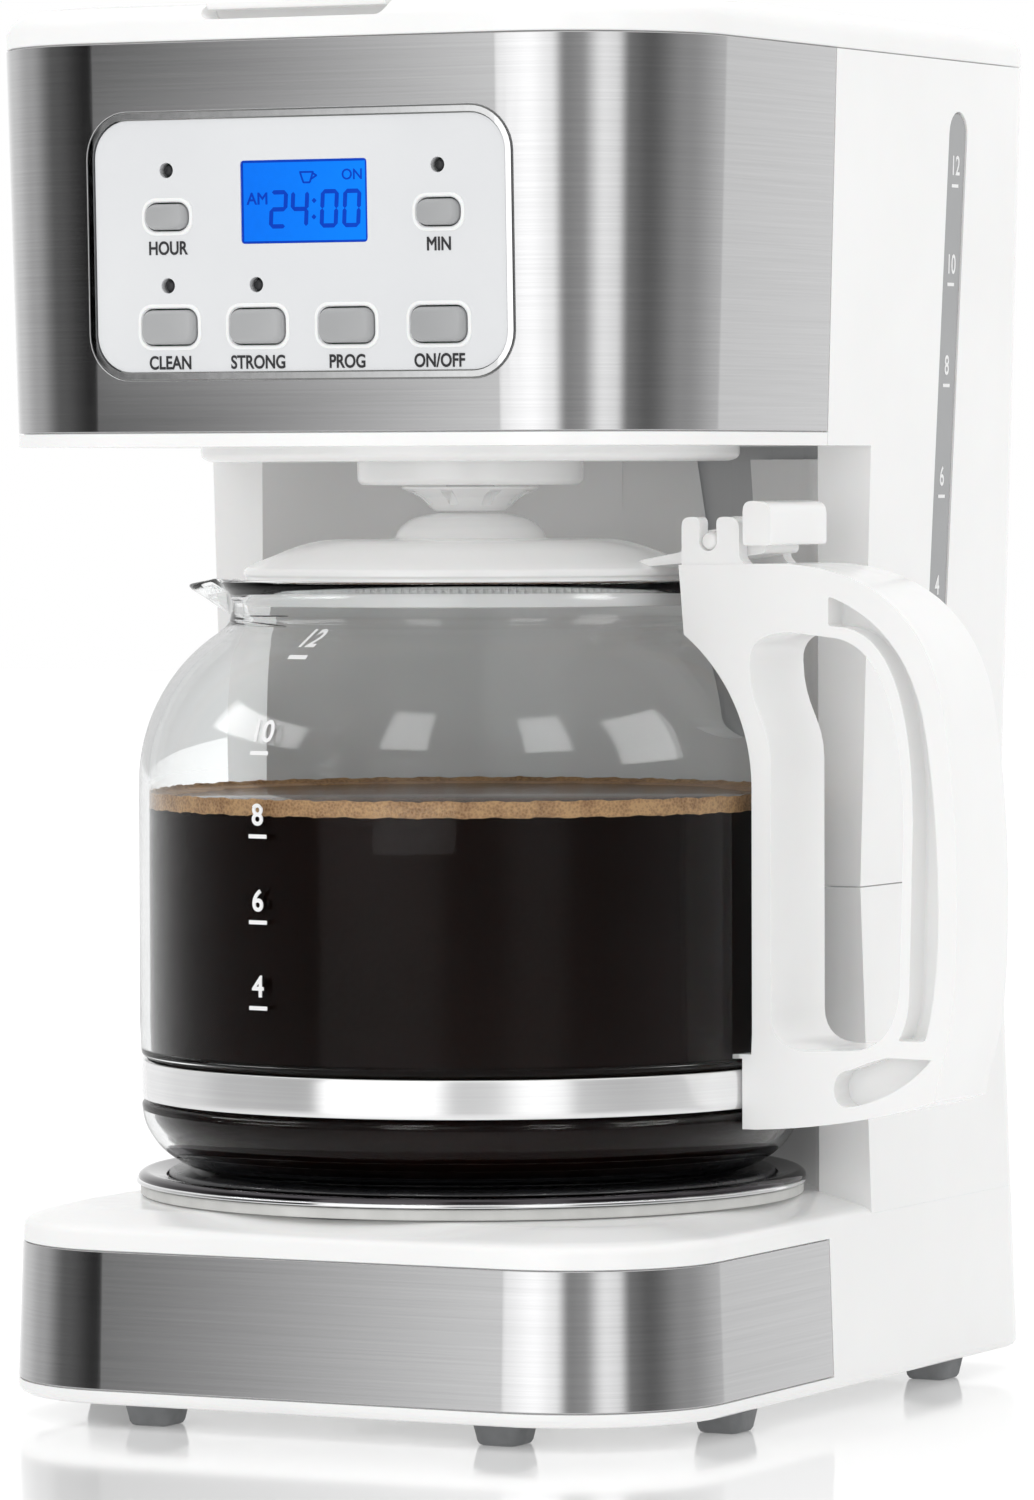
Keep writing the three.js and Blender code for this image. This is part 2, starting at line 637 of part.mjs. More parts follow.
function sprayHead() {
  const top = LID_TOP_Z - 2.5 - GAP;
  const low = DECK_Z + 1.2;
  const holes = Array.from({ length: 6 }, (_, i) => {
    const angle = (i * Math.PI) / 3;
    return post(1.5, low - 1, low + 1.5, { x: 14 * Math.cos(angle), y: AXIS_Y + 14 * Math.sin(angle), sides: 6 });
  });
  return cut(
    join(
      post(20, low, low + 4, { sides: 20, top: 22 }),
      post(8, low + 3, top, { sides: 16 }),
      block(-5, 5, AXIS_Y, RISER_Y, low + 6, low + 10),
      post(6, low, low + 10, { y: RISER_Y, sides: 16 }),
    ),
    ...holes,
    post(3, low - 1, low + 4, { y: RISER_Y, sides: 10 }),
  );
}

// ---------------------------------------------------------------- controls

const lcdX = PANEL_X + 1.4;
const lcdZ = panelZ + 9.4;
const BIG_BUTTON = { w: 13.4, h: 7.7 };
const SMALL_BUTTON = { w: 10.3, h: 5.8 };
const onPanel = (right, up, size) => ({ x: PANEL_X + right, z: panelZ + up, ...size });
const BUTTONS = {
  hour_button: onPanel(-33, 6.5, SMALL_BUTTON),
  minute_button: onPanel(34.8, 6.5, SMALL_BUTTON),
  clean_button: onPanel(-32.8, -18, BIG_BUTTON),
  strong_button: onPanel(-10.6, -18, BIG_BUTTON),
  program_button: onPanel(11.7, -18, BIG_BUTTON),
  power_button: onPanel(34.5, -18, BIG_BUTTON),
};
const LAMPS = {
  hour_lamp: onPanel(-33.1, 16.8),
  minute_lamp: onPanel(34.7, 16.8),
  clean_lamp: onPanel(-33.1, -8.8),
  strong_lamp: onPanel(-10.8, -8.8),
};
const LAMP_RADIUS = 1.7;
const PANEL_THICKNESS = 2.5;
const PANEL_SET = 0.2; // panel face behind the housing's surface
const panelBand = (outer, inner) => bodyShell(panelZ - PANEL_HEIGHT, HEAD_TOP_Z, outer, inner);
const buttonShape = ({ x, z, w, h }, grow) => roundRect(w + 2 * grow, h + 2 * grow, 2.4 + grow, x, z);
const panelBackY = -halfDepth(panelZ - PANEL_HEIGHT / 2) + PANEL_SET + PANEL_THICKNESS;

const panelBezel = () =>
  common(
    panelBand(-0.3, SKIN + 3),
    cut(throughFront(panelShape(0)), throughFront(panelShape(-BEZEL))),
  );

function controlPanel() {
  const holes = [
    throughFront(roundRect(LCD_WIDTH, LCD_HEIGHT, 0.8, lcdX, lcdZ), 1),
    ...Object.values(BUTTONS).map((b) => throughFront(buttonShape(b, GAP), 2)),
    ...Object.values(LAMPS).map(({ x, z }) => barY(LAMP_RADIUS, -FAR, AXIS_Y, x, z, 10)),
  ];
  const face = common(
    panelBand(PANEL_SET, PANEL_SET + PANEL_THICKNESS),
    throughFront(panelShape(-BEZEL - GAP)),
  );
  return cut(face, ...holes);
}

const lcdLens = () =>
  common(
    panelBand(0.6, 2),
    throughFront(roundRect(LCD_WIDTH - 2 * GAP, LCD_HEIGHT - 2 * GAP, 0.6, lcdX, lcdZ), 1),
  );

const lcdModule = () =>
  block(
    lcdX - LCD_WIDTH / 2 - 2.5, lcdX + LCD_WIDTH / 2 + 2.5, panelBackY + GAP, panelBackY + 5.5,
    lcdZ - LCD_HEIGHT / 2 - 2, lcdZ + LCD_HEIGHT / 2 + 2,
  );

const button = (place) => common(panelBand(-0.6, 5.5), throughFront(buttonShape(place, 0), 2));

function lamp({ x, z }) {
  return common(panelBand(0.8, 5.5), barY(LAMP_RADIUS - GAP, -FAR, AXIS_Y, x, z, 10));
}

function controlBoard() {
  const y = panelBackY + 5.5 + BUTTON_TRAVEL + GAP;
  const half = PANEL_WIDTH / 2 - 8;
  return join(
    block(-half, half, y, y + 1.6, panelZ - PANEL_HEIGHT / 2 + 5, panelZ + PANEL_HEIGHT / 2 - 5),
    block(-8, 8, y + 1, y + 5, panelZ - 8, panelZ + 8),
  );
}

// ---------------------------------------------------------------- filter basket and drip valve

function filterBasket() {
  const [r, drum] = [BASKET_RADIUS, DRUM_RADIUS];
  const floor = HEAD_Z + 4;
  return turned([
    [VALVE_STEM + 0.5, DRUM_Z],
    [drum - 1, DRUM_Z],
    [drum, DRUM_Z + 1],
    [drum, floor],
    [r - 5, floor + 12],
    [r, BASKET_TOP_Z - 3],
    [r + 2.5, BASKET_TOP_Z - 3],
    [r + 2.5, BASKET_TOP_Z],
    [r - BASKET_WALL, BASKET_TOP_Z],
    [r - 5 - BASKET_WALL, floor + 13.5],
    [drum - BASKET_WALL, floor + 2],
    [drum - BASKET_WALL, DRUM_Z + 3],
    [VALVE_STEM + 0.5, DRUM_Z + 3],
  ]);
}

const FILTER_Z = HEAD_Z + 20;

function permanentFilter() {
  const slope = 5 / (BASKET_TOP_Z - 3 - HEAD_Z - 16);
  const low = BASKET_RADIUS - 5 - BASKET_WALL - 1.5;
  const high = low + slope * (BASKET_TOP_Z - 1 - FILTER_Z);
  return turned([
    [0, FILTER_Z],
    [low, FILTER_Z],
    [high, BASKET_TOP_Z - 1],
    [high - 1, BASKET_TOP_Z - 1],
    [low - 1, FILTER_Z + 1],
    [0, FILTER_Z + 1],
  ]);
}

const VALVE_STEM = 5.4;
const VALVE_FLANGE_Z = DRUM_Z + 8.8;

function dripValve() {
  const cone = turned(
    [
      [0, VALVE_Z],
      [8.2, VALVE_Z],
      [9.2, VALVE_Z + 0.6],
      [15.7, DRUM_Z - GAP],
      [VALVE_STEM, DRUM_Z - GAP],
      [VALVE_STEM, VALVE_FLANGE_Z],
      [9, VALVE_FLANGE_Z],
      [9, VALVE_FLANGE_Z + 1.6],
      [0, VALVE_FLANGE_Z + 1.6],
    ],
    { sides: 24 },
  );
  const slots = [0, 1, 2, 3].map((quarter) => {
    const slot = new THREE.BoxGeometry(3, 6, VALVE_HEIGHT - 2.6);
    slot.translate(0, -13.4, VALVE_Z + VALVE_HEIGHT / 2 + 0.2);
    return solid(slot.rotateZ((quarter * Math.PI) / 2 + Math.PI / 8).translate(0, AXIS_Y, 0));
  });
  return cut(cone, ...slots);
}

function valveSeal() {
  const [z0, z1] = [VALVE_FLANGE_Z - GAP - 2, VALVE_FLANGE_Z - GAP];
  const inner = VALVE_STEM + GAP;
  return turned([[inner, z0], [10, z0 + 0.4], [10, z1], [inner, z1]], { sides: 20 });
}

class Helix extends THREE.Curve {
  constructor(radius, turns, z0, z1) {
    super();
    Object.assign(this, { radius, turns, z0, z1 });
  }
  getPoint(t, target = new THREE.Vector3()) {
    const angle = 2 * Math.PI * this.turns * t;
    const z = this.z0 + (this.z1 - this.z0) * t;
    return target.set(this.radius * Math.cos(angle), AXIS_Y + this.radius * Math.sin(angle), z);
  }
}

const SPRING_WIRE = 0.6;

function valveSpring() {
  const path = new Helix(6, 4, VALVE_FLANGE_Z + 1.6 + SPRING_WIRE + GAP, FILTER_Z - SPRING_WIRE - GAP);
  const section = ringShape(SPRING_WIRE, 0, 5);
  return solid(new THREE.ExtrudeGeometry(section, { extrudePath: path, steps: 32, bevelEnabled: false }));
}

// ---------------------------------------------------------------- carafe

const GLASS_SIDES = 34;

// The outside of the glass, from the middle of its underside to its rim.
function glassProfile() {
  const r = CARAFE_RADIUS;
  const band = CARAFE_Z + BAND_Z;
  const groove = r - BAND_DEPTH;
  const centre = r - SHOULDER_RADIUS;
  const sweep = Math.acos((NECK_RADIUS + 1.5 - centre) / SHOULDER_RADIUS);
  const shoulderZ = NECK_Z - SHOULDER_RADIUS * Math.sin(sweep);
  const shoulder = Array.from({ length: 5 }, (_, i) => {
    const angle = (sweep * i) / 4;
    return [centre + SHOULDER_RADIUS * Math.cos(angle), shoulderZ + SHOULDER_RADIUS * Math.sin(angle)];
  });
  return [
    [0, CARAFE_Z + 2.4],
    [r - 22, CARAFE_Z + 1.4],
    [r - 17, CARAFE_Z],
    [r - 11, CARAFE_Z + 0.6],
    [r - 4.5, CARAFE_Z + 4.8],
    [r - 1, CARAFE_Z + 10.5],
    [r - 0.4, band - 0.8],
    [groove, band],
    [groove, band + BAND_HEIGHT],
    [r - 0.2, band + BAND_HEIGHT + 1],
    ...shoulder,
    [NECK_RADIUS, NECK_Z + 2.4],
    [NECK_RADIUS, RIM_Z - 3.4],
    [NECK_RADIUS + 2.2, RIM_Z - 0.8],
    [NECK_RADIUS + 1.6, RIM_Z],
  ];
}

// A profile moved sideways by a distance, to its left as it runs.
function offsetProfile(points, distance) {
  return points.map(([r, z], i) => {
    const before = points[Math.max(i - 1, 0)];
    const after = points[Math.min(i + 1, points.length - 1)];
    const [dr, dz] = [after[0] - before[0], after[1] - before[1]];
    const length = Math.hypot(dr, dz);
    return [i === 0 ? 0 : r - (dz / length) * distance, z + (dr / length) * distance];
  });
}

// Draws the rim out into a pouring lip on the -X side.
function pullSpout(geometry) {
  const position = geometry.attributes.position;
  for (let i = 0; i < position.count; i++) {
    const [x, y, z] = [position.getX(i), position.getY(i) - AXIS_Y, position.getZ(i)];
    const rise = THREE.MathUtils.clamp((z - NECK_Z - 1) / (NECK_HEIGHT - 1), 0, 1);
    const turn = Math.atan2(y, -x) / 0.2;
    const pull = SPOUT_REACH * rise * rise * Math.exp(-turn * turn);
    const radius = Math.hypot(x, y) || 1;
    position.setXYZ(i, x * (1 + pull / radius), y * (1 + pull / radius) + AXIS_Y, z - 0.12 * pull);
  }
  return geometry;
}

function carafeGlass() {
  const outer = glassProfile();
  const inner = offsetProfile(outer, GLASS).reverse();
  const points = [...outer, ...inner].map(([r, z]) => new THREE.Vector2(r, z));
  const lathe = new THREE.LatheGeometry(points, GLASS_SIDES).rotateX(Math.PI / 2).translate(0, AXIS_Y, 0);
  return solid(pullSpout(lathe));
}

function carafeBand() {
  const [z0, z1] = [CARAFE_Z + BAND_Z + GAP, CARAFE_Z + BAND_Z + BAND_HEIGHT - GAP];
  const [r0, r1] = [CARAFE_RADIUS - BAND_DEPTH + GAP, CARAFE_RADIUS - 0.2];
  return turned([[r0, z0], [r1, z0], [r1, z1], [r0, z1]], { sides: GLASS_SIDES });
}

function carafeLid() {
  const [edge, top] = [NECK_RADIUS - GLASS - 1, LID_PLATEAU_Z];
  const cup = turned([
    [edge, RIM_Z - 6],
    [edge, RIM_Z + 2],
    [edge - 1.6, RIM_Z + 3.4],
    [36, top - 0.4],
    [34, top],
    [DOME_RADIUS, top],
    [DOME_RADIUS - 1.2, top + DOME_RISE * 0.48],
    [DOME_RADIUS * 0.72, top + DOME_RISE * 0.84],
    [DOME_RADIUS * 0.4, top + DOME_RISE * 0.97],
    [0, top + DOME_RISE],
    [0, top + DOME_RISE - 2.2],
    [DOME_RADIUS * 0.62, top + DOME_RISE * 0.5],
    [DOME_RADIUS - 2.4, top - 2],
    [34, top - 2],
    [edge - 2.4, RIM_Z + 1],
    [edge - 2, RIM_Z - 6],
  ]);
  const hinge = LID_PLATEAU_Z - 0.6;
  const arm = polygon([
    [38, RIM_Z + 4.5],
    [LID_PIN_X, HANDLE_TOP_Z + 1],
    [LID_PIN_X + 15, HANDLE_TOP_Z + 3.6],
    [LID_PIN_X + 15, HANDLE_TOP_Z + 7],
    [LID_PIN_X + 3, hinge + 3.4],
    [LID_PIN_X - 5, hinge + 2.4],
    [42, top - 0.6],
  ]);
  const tab = roundRect(TAB_LENGTH, 10.2, 1.5, LID_PIN_X + 12.6, HANDLE_TOP_Z + 9.5);
  return cut(
    join(
      cup,
      prismY(arm, AXIS_Y - EAR_INNER + 2 * GAP, AXIS_Y + EAR_INNER - 2 * GAP),
      prismY(tab, AXIS_Y - HANDLE_WIDTH / 2 - 0.5, AXIS_Y + HANDLE_WIDTH / 2 + 0.5, 3),
    ),
    barY(LID_PIN_RADIUS + GAP, AXIS_Y - 30, AXIS_Y + 30, LID_PIN_X, LID_PIN_Z, 12),
    turned([[0, RIM_Z - 8], [edge - 2, RIM_Z - 8], [edge - 2, RIM_Z + 1], [34, top - 2], [0, top - 2]]),
  );
}

const HANDLE_TOP_Z = RIM_Z + 3.4;
const LID_PIN_Z = HANDLE_TOP_Z + 5.5;
const EAR_INNER = HANDLE_WIDTH / 2 - 5;
const BAND_MID_Z = CARAFE_Z + BAND_Z + BAND_HEIGHT / 2;
const HANDLE_LOW_Z = BAND_MID_Z - 8.9;

const carafeLidPin = () =>
  barY(LID_PIN_RADIUS, AXIS_Y - HANDLE_WIDTH / 2 + 1, AXIS_Y + HANDLE_WIDTH / 2 - 1, LID_PIN_X, LID_PIN_Z, 12);

// The handle's outer outline in x and z, moved in by an inset.
function handleOutline(inset) {
  const [reach, top, low] = [HANDLE_REACH - inset, HANDLE_TOP_Z - inset, HANDLE_LOW_Z + inset];
  const shape = new THREE.Shape();
  shape.moveTo(NECK_RADIUS + 2 + inset, top);
  shape.lineTo(reach - 46, top + 0.3);
  shape.bezierCurveTo(reach - 24, top + 0.2, reach - 8.5, top - 10.4, reach - 4.9, top - 32.7);
  shape.bezierCurveTo(reach - 1.2, top - 44.4, reach, top - 58.4, reach, top - 73.4);
  shape.bezierCurveTo(reach, low + 39.4, reach - 0.2, low + 24.4, reach - 4.3, low + 13.4);
  shape.lineTo(reach - 5.4, low + 7.6);
  shape.bezierCurveTo(reach - 14, low + 4.4, reach - 30, low + 0.9, CARAFE_RADIUS + 2.5, low);
  shape.lineTo(CARAFE_RADIUS - 4 + inset, low);
  shape.closePath();
  return shape;
}

// The finger loop.
function loopOutline(grow) {
  const left = CARAFE_RADIUS + HANDLE_STANDOFF + HANDLE_PLATE - grow;
  const right = HANDLE_REACH - GRIP_THICKNESS + grow;
  const low = HANDLE_LOW_Z + WEB_HEIGHT - grow;
  const high = low + LOOP_HEIGHT + 2 * grow;
  const shape = new THREE.Shape();
  shape.moveTo(left, low + 8);
  shape.bezierCurveTo(left, low + 2, left + 4, low, left + 9, low);
  shape.lineTo(right - 12, low + 0.4);
  shape.bezierCurveTo(right - 5, low + 0.8, right - 0.8, low + 6, right - 0.6, low + 16);
  shape.lineTo(right + 0.3, high - 44.5);
  shape.bezierCurveTo(right + 0.2, high - 18.5, right - 5, high - 1.2, right - 18.4, high - 1);
  shape.lineTo(left + 5, high);
  shape.bezierCurveTo(left - 3, high, left - 5.4, high - 3, left - 5.2, high - 7);
  shape.bezierCurveTo(left - 5, high - 18, left, high - 20, left, high - 29);
  shape.closePath();
  return shape;
}

function carafeHandle() {
  const half = HANDLE_WIDTH / 2;
  const [y0, y1] = [AXIS_Y - half, AXIS_Y + half];
  const body = cut(prismY(handleOutline(0), y0, y1, 6), prismY(loopOutline(0), y0 - 1, y1 + 1, 6));
  const channel = cut(
    prismY(handleOutline(4.4), y0 - 1, y0 + 3, 6),
    prismY(loopOutline(2.4), y0 - 2, y0 + 4, 6),
    block(-FAR, FAR, -FAR, FAR, -FAR, BAND_MID_Z + 12),
    block(-FAR, CARAFE_RADIUS + 20, -FAR, FAR, -FAR, FAR),
  );
  const ear = roundRect(EAR_LENGTH, 17, 3, LID_PIN_X + 0.5, HANDLE_TOP_Z + 2.3);
  const ears = [
    prismY(ear, y0 + 1.5, AXIS_Y - EAR_INNER, 3),
    prismY(ear, AXIS_Y + EAR_INNER, y1 - 1.5, 3),
  ];
  const pinSlot = join(
    barY(LID_PIN_RADIUS + GAP, y0 - 1, y1 + 1, LID_PIN_X, LID_PIN_Z, 12),
    block(LID_PIN_X - 1.7, LID_PIN_X + 1.7, y0 - 1, y1 + 1, LID_PIN_Z, FAR),
  );
  const around = [...offsetProfile(glassProfile(), -HANDLE_STANDOFF), [0, RIM_Z + 3]];
  const glass = turned(around, { sides: GLASS_SIDES });
  const clear = cut(glass, block(0, FAR, -FAR, FAR, -FAR, BAND_MID_Z + 8));
  return cut(
    join(body, ...ears),
    channel,
    channel.mirror([0, 1, 0]).translate([0, 2 * AXIS_Y, 0]),
    clear,
    post(CARAFE_RADIUS + GAP, 0, BAND_MID_Z + 8.5, { sides: GLASS_SIDES }),
    pinSlot,
    block(0, NECK_RADIUS + 4.5, -FAR, FAR, -FAR, FAR),
    barX(2.2, 0, CARAFE_RADIUS + 16, AXIS_Y, BAND_MID_Z, 10),
  );
}

const bandScrew = () => barX(1.8, CARAFE_RADIUS + 1, CARAFE_RADIUS + 14, AXIS_Y, BAND_MID_Z, 10);

// ---------------------------------------------------------------- colours and assembly

const finish = (color, roughness, metalness = 0, opacity = 1) => ({ color, roughness, metalness, opacity });
const WHITE = finish(0xf4f4f2, 0.25);
const PANEL = finish(0xe6e7e8, 0.45);
const STEEL = finish(0xb9bbbd, 0.32, 1);
const CHROME = finish(0xe4e6e8, 0.08, 1);
const CLEAR = finish(0xf2f6f7, 0.03, 0, 0.3);
const SMOKE = finish(0x9fa2a4, 0.2, 0, 0.75);
const SILVER = finish(0xb4b6b8, 0.4);
const RUBBER = finish(0x8b8d8f, 0.8);
const SILICONE = finish(0xd9d9d5, 0.6);
const BOARD = finish(0x2f6b41, 0.5);
const BLUE = finish(0x1d7df2, 0.3);
const BLACK = finish(0x1c1c1e, 0.4);
const ALUMINIUM = finish(0xc4c6c8, 0.35, 1);

const coffeeMaker = new THREE.Group();
coffeeMaker.name = "coffee_maker";

function place(name, made, { color, roughness, metalness, opacity }) {
  const { numProp, vertProperties, triVerts } = made.getMesh();
  const geometry = new THREE.BufferGeometry();
  const points = new Float32Array((vertProperties.length / numProp) * 3);
  for (let i = 0; i * numProp < vertProperties.length; i++)
    points.set(vertProperties.subarray(i * numProp, i * numProp + 3), i * 3);
  geometry.setAttribute("position", new THREE.BufferAttribute(points, 3));
  geometry.setIndex(new THREE.BufferAttribute(triVerts, 1));
  geometry.computeVertexNormals();
  const material = new THREE.MeshStandardMaterial({ color, roughness, metalness });
  if (opacity < 1) Object.assign(material, { transparent: true, opacity });
  const mesh = new THREE.Mesh(geometry, material);
  mesh.name = name;
  coffeeMaker.add(mesh);
}

place("lower_housing", lowerHousing(), WHITE);
place("upper_housing", upperHousing(), WHITE);
place("head_shell", headShell(), WHITE);
place("top_cap", topCap(), WHITE);
place("bottom_cover", bottomCover(), WHITE);
place("base_wrap", baseWrap(), STEEL);
place("head_wrap", headWrap(), STEEL);
place("tank_window", tankWindow(), SMOKE);
place("cord_gland", cordGland(), RUBBER);
FEET.forEach((spot, i) => place(`foot_${i + 1}`, foot(spot), RUBBER));

place("warming_plate", warmingPlate(), ALUMINIUM);
place("plate_seal", plateSeal(), SILICONE);
place("trim_ring", trimRing(), CHROME);
place("heating_element", heatingElement(), ALUMINIUM);
place("thermostat", thermostat(), BLACK);
place("thermal_fuse", thermalFuse(), BLACK);
place("power_board", powerBoard(), BOARD);

place("water_tank", waterTank(), PANEL);
place("tank_screen", tankScreen(), SILICONE);
place("check_valve", checkValve(), SILICONE);
place("inlet_hose", inletHose(), SILICONE);
place("riser_hose", riserHose(), SILICONE);

place("panel_bezel", panelBezel(), CHROME);
place("control_panel", controlPanel(), PANEL);
place("lcd_lens", lcdLens(), BLUE);
place("lcd_module", lcdModule(), BLACK);
place("control_board", controlBoard(), BOARD);
for (const [name, spot] of Object.entries(BUTTONS)) place(name, button(spot), SILVER);
for (const [name, spot] of Object.entries(LAMPS)) place(name, lamp(spot), BLACK);

place("lid", lid(), WHITE);
place("spray_head", sprayHead(), WHITE);
place("hinge_pin_left", hingePin(-1), STEEL);
place("hinge_pin_right", hingePin(1), STEEL);

place("filter_basket", filterBasket(), WHITE);
place("permanent_filter", permanentFilter(), STEEL);
place("drip_valve", dripValve(), WHITE);
place("valve_seal", valveSeal(), SILICONE);
place("valve_spring", valveSpring(), STEEL);

place("carafe_glass", carafeGlass(), CLEAR);
place("carafe_band", carafeBand(), STEEL);
place("carafe_handle", carafeHandle(), WHITE);
place("carafe_lid", carafeLid(), WHITE);
place("carafe_lid_pin", carafeLidPin(), WHITE);
place("band_screw", bandScrew(), STEEL);

// The origin is under the middle of the machine's bounding box, on the surface it stands on.
const leftReach = halfWidth(HEAD_TOP_Z);
coffeeMaker.position.x = (leftReach - HANDLE_REACH) / 2;

export default coffeeMaker;
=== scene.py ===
"""A twelve-cup drip coffee maker: the looks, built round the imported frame.

Lengths in this file are in millimetres.
"""

import math

import bmesh
import bpy
from mathutils import Matrix, Vector


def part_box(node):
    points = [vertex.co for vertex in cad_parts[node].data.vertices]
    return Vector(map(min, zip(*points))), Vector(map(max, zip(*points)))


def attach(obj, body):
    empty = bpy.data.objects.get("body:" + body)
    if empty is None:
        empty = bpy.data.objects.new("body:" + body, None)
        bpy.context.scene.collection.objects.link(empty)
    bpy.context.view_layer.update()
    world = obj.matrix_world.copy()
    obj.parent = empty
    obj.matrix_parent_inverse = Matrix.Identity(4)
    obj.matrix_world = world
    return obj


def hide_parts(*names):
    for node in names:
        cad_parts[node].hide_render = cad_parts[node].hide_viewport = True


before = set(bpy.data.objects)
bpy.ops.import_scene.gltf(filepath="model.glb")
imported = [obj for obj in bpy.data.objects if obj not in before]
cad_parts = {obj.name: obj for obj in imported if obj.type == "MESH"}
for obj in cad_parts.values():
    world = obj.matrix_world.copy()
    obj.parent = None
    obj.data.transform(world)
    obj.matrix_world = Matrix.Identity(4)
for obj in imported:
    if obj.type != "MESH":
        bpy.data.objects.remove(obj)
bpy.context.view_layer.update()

MM = 0.001
FAR = 400.0


def span(node):
    low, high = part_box(node)
    return low / MM, high / MM


# ---------------------------------------------------------------- places from the frame

WRAP_LOW, WRAP_HIGH = span("head_wrap")
MID_X = (WRAP_LOW.x + WRAP_HIGH.x) / 2  # the housing's plane of symmetry
BAND_LOW, BAND_HIGH = span("carafe_band")
AXIS_Y = (BAND_LOW.y + BAND_HIGH.y) / 2  # carafe, plate and basket axis
CARAFE_RADIUS = (BAND_HIGH.y - BAND_LOW.y) / 2 + 0.2
GAP = 0.3
WALL = 3.0
SKIN = 0.9

PARTING_Z = span("upper_housing")[0].z - GAP / 2
DRAFT_UP = 0.028
DRAFT_DOWN = 0.036
HALF_WIDTH = (WRAP_HIGH.x - WRAP_LOW.x) / 2 - DRAFT_UP * (WRAP_HIGH.z - PARTING_Z)
HALF_DEPTH = span("upper_housing")[1].y - DRAFT_UP * (WRAP_HIGH.z - PARTING_Z)
FRONT_RADIUS = 33.0
REAR_RADIUS = 8.0
FRONT_STEPS = 20
REAR_STEPS = 8
SEAM_Y = span("base_wrap")[1].y
COLUMN_Y = 14.0
RECESS_RADIUS = CARAFE_RADIUS + 3.5

FOOT_TOP = span("foot_1")[0].z + 5.5
BASE_WRAP_Z = span("base_wrap")[0].z
BASE_WRAP_TOP = span("base_wrap")[1].z
PLATE_TOP = span("warming_plate")[1].z
BASE_TOP = span("plate_seal")[0].z - GAP
CARAFE_Z = span("carafe_glass")[0].z
RIM_Z = span("carafe_glass")[1].z
NECK_Z = RIM_Z - 11.3
PLATEAU_Z = RIM_Z + 9.0
DRUM_Z = span("filter_basket")[0].z
STEP_Z = span("head_shell")[0].z
HEAD_Z = STEP_Z + 3.4
HEAD_WRAP_Z = WRAP_LOW.z
HEAD_TOP = span("top_cap")[0].z
CAP_TOP = span("top_cap")[1].z
LID_TOP = span("lid")[1].z
LID_LOW = span("lid")[0].z
HINGE_Y = span("hinge_pin_left")[0].y + 1.6
HINGE_Z = span("hinge_pin_left")[0].z + 1.6
PANEL_LOW, PANEL_HIGH = span("panel_bezel")
PANEL_Z = (PANEL_LOW.z + PANEL_HIGH.z) / 2
PANEL_X = (PANEL_LOW.x + PANEL_HIGH.x) / 2 - MID_X
PANEL_WIDTH = PANEL_HIGH.x - PANEL_LOW.x
PANEL_HEIGHT = PANEL_HIGH.z - PANEL_LOW.z
WINDOW_LOW, WINDOW_HIGH = span("tank_window")
WINDOW_HALF = 10.5 / 2
WINDOW_LEAN = 0.0485  # how far the level window leans forward per millimetre of height
LID_INSET = 9.0  # from the cap's outline to the lid's
NOTCH = 46.5  # width of the finger notch in the cap's front
LCD_DEPTH = 0.6  # the display's face behind the housing's surface


# ---------------------------------------------------------------- mesh tools


def add(name, verts, faces):
    """A mesh object from points in millimetres, x measured from the housing's plane of symmetry."""
    mesh = bpy.data.meshes.new(name)
    mesh.from_pydata([((x + MID_X) * MM, y * MM, z * MM) for x, y, z in verts], [], faces)
    piece = bpy.data.objects.new(name, mesh)
    bpy.context.scene.collection.objects.link(piece)
    work = bmesh.new()
    work.from_mesh(mesh)
    bmesh.ops.recalc_face_normals(work, faces=work.faces)
    work.to_mesh(mesh)
    work.free()
    return piece


def loft(name, rings):
    """Rings of equal length skinned one to the next, with both ends capped."""
    count = len(rings[0])
    verts = [p for ring in rings for p in ring]
    faces = []
    for level in range(len(rings) - 1):
        for i in range(count):
            a, b = level * count + i, level * count + (i + 1) % count
            faces.append((a, b, b + count, a + count))
    faces.append(tuple(range(count))[::-1])
    faces.append(tuple(range(len(verts) - count, len(verts))))
    return add(name, verts, faces)


def revolve(name, profile, sides, place):
    """A profile of (radius, height) pairs turned about a line; one that leaves the line makes a ring."""
    verts, faces, rows = [], [], []
    for r, height in profile:
        if r < 1e-6:
            rows.append([len(verts)] * sides)
            verts.append(place(0, 0, height))
            continue
        rows.append([len(verts) + i for i in range(sides)])
        for i in range(sides):
            angle = 2 * math.pi * i / sides
            verts.append(place(r * math.cos(angle), r * math.sin(angle), height))
    pairs = list(zip(rows, rows[1:]))
    if profile[0][0] >= 1e-6 or profile[-1][0] >= 1e-6:
        pairs.append((rows[-1], rows[0]))
    for low, high in pairs:
        for i in range(sides):
            j = (i + 1) % sides
            face = list(dict.fromkeys((low[i], low[j], high[j], high[i])))
            if len(face) > 2:
                faces.append(face)
    return add(name, verts, faces)


def turned(name, profile, sides=96, x=0.0, y=AXIS_Y):
    """A profile of (radius, z) pairs turned about a vertical line."""
    return revolve(name, profile, sides, lambda a, b, z: (x + a, y + b, z))


def prism(name, outline, axis, low, high):
    """A flat outline filled along an axis.

    Axis "x" takes (y, z) pairs, "y" takes (x, z) pairs and "z" takes (x, y) pairs.
    """
    place = {
        "x": lambda a, b, c: (c, a, b),
        "y": lambda a, b, c: (a, c, b),
        "z": lambda a, b, c: (a, b, c),
    }[axis]
    return loft(name, [[place(a, b, c) for a, b in outline] for c in (low, high)])


def block(name, x0, x1, y0, y1, z0, z1):
    return prism(name, [(x0, y0), (x1, y0), (x1, y1), (x0, y1)], "z", z0, z1)


def post(radius, z0, z1, x=0.0, y=AXIS_Y, sides=96):
    return turned("post", [(0, z0), (radius, z0), (radius, z1), (0, z1)], sides, x, y)


